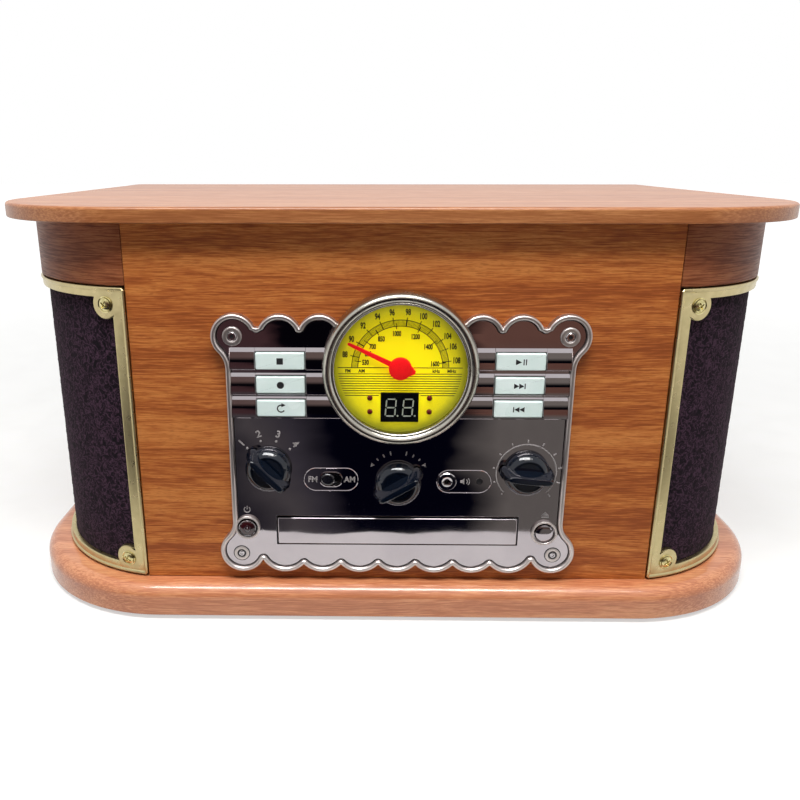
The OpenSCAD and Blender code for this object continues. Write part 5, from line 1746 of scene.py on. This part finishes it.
@dataclass
class Studio:
    """Camera, pale floor, soft lamps and the white surround.

    The camera's place is in millimetres, all other places and sizes are in metres.
    """

    camera_at: tuple[float, float, float] = (-20.3, -620.8, 279.57)
    pitch: float = 17.21
    yaw: float = 0.85
    lens: float = 35.22
    shift_x: float = 0.0575
    sky: float = 0.2
    card_edge: float = -0.289
    far_y: float = -3.2

    def camera(self) -> None:
        """Sets the camera at the photograph's place."""
        data = bpy.data.cameras.new("camera")
        data.lens, data.sensor_width, data.shift_x = self.lens, 36.0, self.shift_x
        data.clip_start, data.clip_end = 0.01, 50.0
        camera = bpy.data.objects.new("camera", data)
        yaw = Matrix.Rotation(math.radians(self.yaw), 4, "Z")
        tilt = Matrix.Rotation(math.radians(90 - self.pitch), 4, "X")
        camera.matrix_world = Matrix.Translation(Vector(self.camera_at) * MM) @ yaw @ tilt
        bpy.context.scene.collection.objects.link(camera)
        bpy.context.scene.camera = camera

    def lamp(
        self,
        name: str,
        at: Sequence[float],
        target: Sequence[float],
        size: Flat,
        power: float,
        tint: str = "#ffffff",
    ) -> None:
        """Adds a soft rectangular lamp.

        Args:
            name: Its name.
            at: Its place.
            target: What it points at.
            size: Width and height.
            power: Power in watts.
            tint: Colour of its light.
        """
        data = bpy.data.lights.new(name, "AREA")
        data.shape, data.size, data.size_y = "RECTANGLE", *size
        data.energy, data.color = power, linear(tint)[:3]
        lamp = bpy.data.objects.new(name, data)
        lamp.location = at
        lamp.rotation_euler = (Vector(target) - Vector(at)).to_track_quat("-Z", "Y").to_euler()
        bpy.context.scene.collection.objects.link(lamp)

    def seen(self, recipe: Recipe) -> bpy.types.Node:
        """One for the camera's own rays and for those by way of polish or glass, nothing for the others."""
        path = recipe.add("ShaderNodeLightPath").outputs
        rays = {0: path["Is Camera Ray"], 1: path["Is Glossy Ray"]}
        seen = recipe.add("ShaderNodeMath", rays, operation="MAXIMUM")
        return recipe.add("ShaderNodeMath", {0: seen, 1: path["Is Transmission Ray"]}, operation="MAXIMUM")

    def surround(self) -> None:
        """White world that lights the object softly from all sides."""
        world = bpy.data.worlds.new("surround")
        recipe = Recipe(world)
        strength = recipe.add("ShaderNodeMapRange", {0: self.seen(recipe), 3: self.sky, 4: 1.0})
        recipe.finish("ShaderNodeBackground", {"Color": (1, 1, 1, 1), "Strength": strength})
        bpy.context.scene.world = world

    def sheet(self, name: str, corners: Sequence[Sequence[float]], recipe: Recipe) -> bpy.types.Object:
        """Adds a flat part of the studio.

        Args:
            name: Its name.
            corners: Its corners.
            recipe: Its finished material.

        Returns:
            The object.
        """
        mesh = bpy.data.meshes.new(name)
        mesh.from_pydata(corners, [], [list(range(len(corners)))])
        mesh.materials.append(recipe.owner)
        sheet = bpy.data.objects.new(name, mesh)
        bpy.context.scene.collection.objects.link(sheet)
        return sheet

    def floor(self) -> None:
        """Paper floor that shows white where it is lit, whiter with the distance, and keeps the shadow."""
        recipe = Recipe(bpy.data.materials.new("paper_white"))
        speck = recipe.add("ShaderNodeTexNoise", {"Vector": recipe.place(40), "Scale": 1.0, "Detail": 2.0})
        colour = recipe.add("ShaderNodeValToRGB", {0: speck}, stops=[(0.3, "#b0b0ae"), (0.7, "#b6b6b4")])
        paper = recipe.add("ShaderNodeBsdfDiffuse", {"Color": colour})
        spot = recipe.add("ShaderNodeTexCoord").outputs["Object"]
        reach = recipe.add("ShaderNodeVectorMath", {0: spot}, operation="LENGTH").outputs["Value"]
        far = recipe.add("ShaderNodeMapRange", {0: reach, 1: 0.5, 2: 1.8, 3: 0.55, 4: 1.0})
        share = recipe.add("ShaderNodeMath", {0: self.seen(recipe), 1: far}, operation="MULTIPLY")
        glow = recipe.add("ShaderNodeEmission", {"Color": (1, 1, 1, 1), "Strength": share})
        recipe.finish("ShaderNodeAddShader", {0: paper, 1: glow})
        self.sheet("floor", [(-8, -8, 0), (8, -8, 0), (8, 8, 0), (-8, 8, 0)], recipe)

    def card(
        self, name: str, corners: Sequence[Sequence[float]], recipe: Recipe, colour: bpy.types.Node
    ) -> None:
        """Adds a card that only polished surfaces see.

        Args:
            name: Its name.
            corners: Its corners.
            recipe: Its material, which has the colour.
            colour: Mix of its colours.
        """
        recipe.finish("ShaderNodeEmission", {"Color": colour.outputs[2]})
        card = self.sheet(name, corners, recipe)
        card.visible_camera = card.visible_diffuse = card.visible_shadow = card.visible_transmission = False

    def low_card(self) -> None:
        """Dark card on the floor in front: deep black in its middle, worn grey and brown at its sides."""
        recipe = Recipe(bpy.data.materials.new("card_black_worn"))
        spot = recipe.add("ShaderNodeTexCoord").outputs["Object"]
        cloud = recipe.add("ShaderNodeTexNoise", {"Vector": spot, "Scale": 9.0, "Detail": 3.0})
        x, y, _ = recipe.add("ShaderNodeSeparateXYZ", {0: spot}).outputs
        middle = recipe.add("ShaderNodeMath", {0: y, 1: 0.027, 2: 0.0228}, operation="MULTIPLY_ADD")
        half = recipe.add("ShaderNodeMath", {0: y, 1: -0.66, 2: 0.0504}, operation="MULTIPLY_ADD")
        aside = recipe.add("ShaderNodeMath", {0: x, 1: middle}, operation="SUBTRACT")
        share = recipe.add("ShaderNodeMath", {0: aside, 1: half}, operation="DIVIDE")
        wave = recipe.add("ShaderNodeMath", {0: cloud, 1: 0.22, 2: share}, operation="MULTIPLY_ADD")
        place = recipe.add("ShaderNodeMath", {0: wave, 1: 0.39}, operation="ADD")
        near_stops = [(0.0, "#302e36"), (0.13, "#5f5b5d"), (0.22, "#49464e")]
        near_stops += [(0.33, "#050516"), (0.67, "#050516"), (0.8, "#7f7b76")]
        far_stops = [(0.0, "#573e41"), (0.24, "#573d3f"), (0.3, "#08060f")]
        far_stops += [(0.7, "#08060f"), (0.76, "#846054"), (1.0, "#7a574c")]
        near = recipe.add("ShaderNodeValToRGB", {0: place}, stops=near_stops)
        far = recipe.add("ShaderNodeValToRGB", {0: place}, stops=far_stops)
        depth = recipe.add("ShaderNodeMapRange", {0: y, 1: -0.6, 2: -0.95, 3: 0.0, 4: 1.0})
        colour = recipe.add("ShaderNodeMix", {0: depth, 6: near, 7: far}, data_type="RGBA")
        edge = []
        for k in range(61):
            x = -0.45 + 0.015 * k
            slow = noise.noise(Vector((x * 9, 2.0, 0.0))) * 0.016
            fast = noise.noise(Vector((x * 31, 5.0, 0.0))) * 0.006
            edge.append((x, self.card_edge + slow + fast, 0.002))
        corners = [(2.5, self.far_y, 0.002), *edge[::-1], (-2.5, self.far_y, 0.002)]
        self.card("low_card", corners, recipe, colour)

    def far_card(self) -> None:
        """Upright card far in front, dark at its foot and brown-grey above."""
        recipe = Recipe(bpy.data.materials.new("card_brown_grey"))
        spot = recipe.add("ShaderNodeTexCoord").outputs["Object"]
        x, _, z = recipe.add("ShaderNodeSeparateXYZ", {0: spot}).outputs
        aside = recipe.add("ShaderNodeMapRange", {0: x, 1: -0.8, 2: 0.8, 3: 0.0, 4: 1.0})
        sides = recipe.add("ShaderNodeValToRGB", {0: aside}, stops=[(0.0, "#7a615c"), (1.0, "#918b84")])
        height = recipe.add("ShaderNodeMapRange", {0: z, 1: 0.2, 2: 0.5, 3: 0.0, 4: 1.0})
        colour = recipe.add("ShaderNodeMix", {0: height, 6: linear("#0a0910"), 7: sides}, data_type="RGBA")
        corners = [(x, self.far_y, z) for x, z in ((-3, 0), (3, 0), (3, 1.25), (-3, 1.25))]
        self.card("far_card", corners, recipe, colour)

    def build(self) -> None:
        """Sets up the studio."""
        bpy.context.scene.view_settings.view_transform = "Standard"
        self.camera()
        self.surround()
        self.floor()
        self.low_card()
        self.far_card()
        self.lamp("ceiling_soft", (-0.1, -0.7, 1.5), (0, -0.1, 0.1), (1.1, 0.4), 26.0)
        self.lamp("high_fill", (0.3, -1.0, 1.7), (0, 0, 0.15), (1.0, 0.4), 4.0, "#fffaf2")
        for number, x in enumerate((-0.9, -0.3, 0.3, 0.9), 1):
            self.lamp(f"spot_{number}", (x, -0.9, 1.9), (0, -0.1, 0.15), (0.09, 0.09), 0.9)


def main() -> None:
    """Builds the studio and the object."""
    logging.basicConfig(level=logging.INFO, format="%(message)s")
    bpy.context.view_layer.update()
    Studio().build()
    Cabinet().build()
    for right in (False, True):
        SpeakerCorner(right).build()
    ControlPanel().build()
    Dial().build()
    Knob("selector_knob", "selector_body", SELECTOR, 134).build()
    Knob("tuning_knob", "tuning_body", TUNING, 31, drum=True).build()
    Knob("volume_knob", "volume_body", VOLUME, 175).build()
    top, middle, low = KEY_ZS
    for name, sign, side, z in (
        ("stop_button", Sign.STOP, -1, top),
        ("record_button", Sign.RECORD, -1, middle),
        ("repeat_button", Sign.REPEAT, -1, low),
        ("play_button", Sign.PLAY, 1, top),
        ("next_button", Sign.NEXT, 1, middle),
        ("previous_button", Sign.PREVIOUS, 1, low),
    ):
        Key(name, sign, (side * KEY_X, z)).build()
    FrontControls().build()
    RecordDeck().build()
    Works().build()


if __name__ == "__main__":
    main()
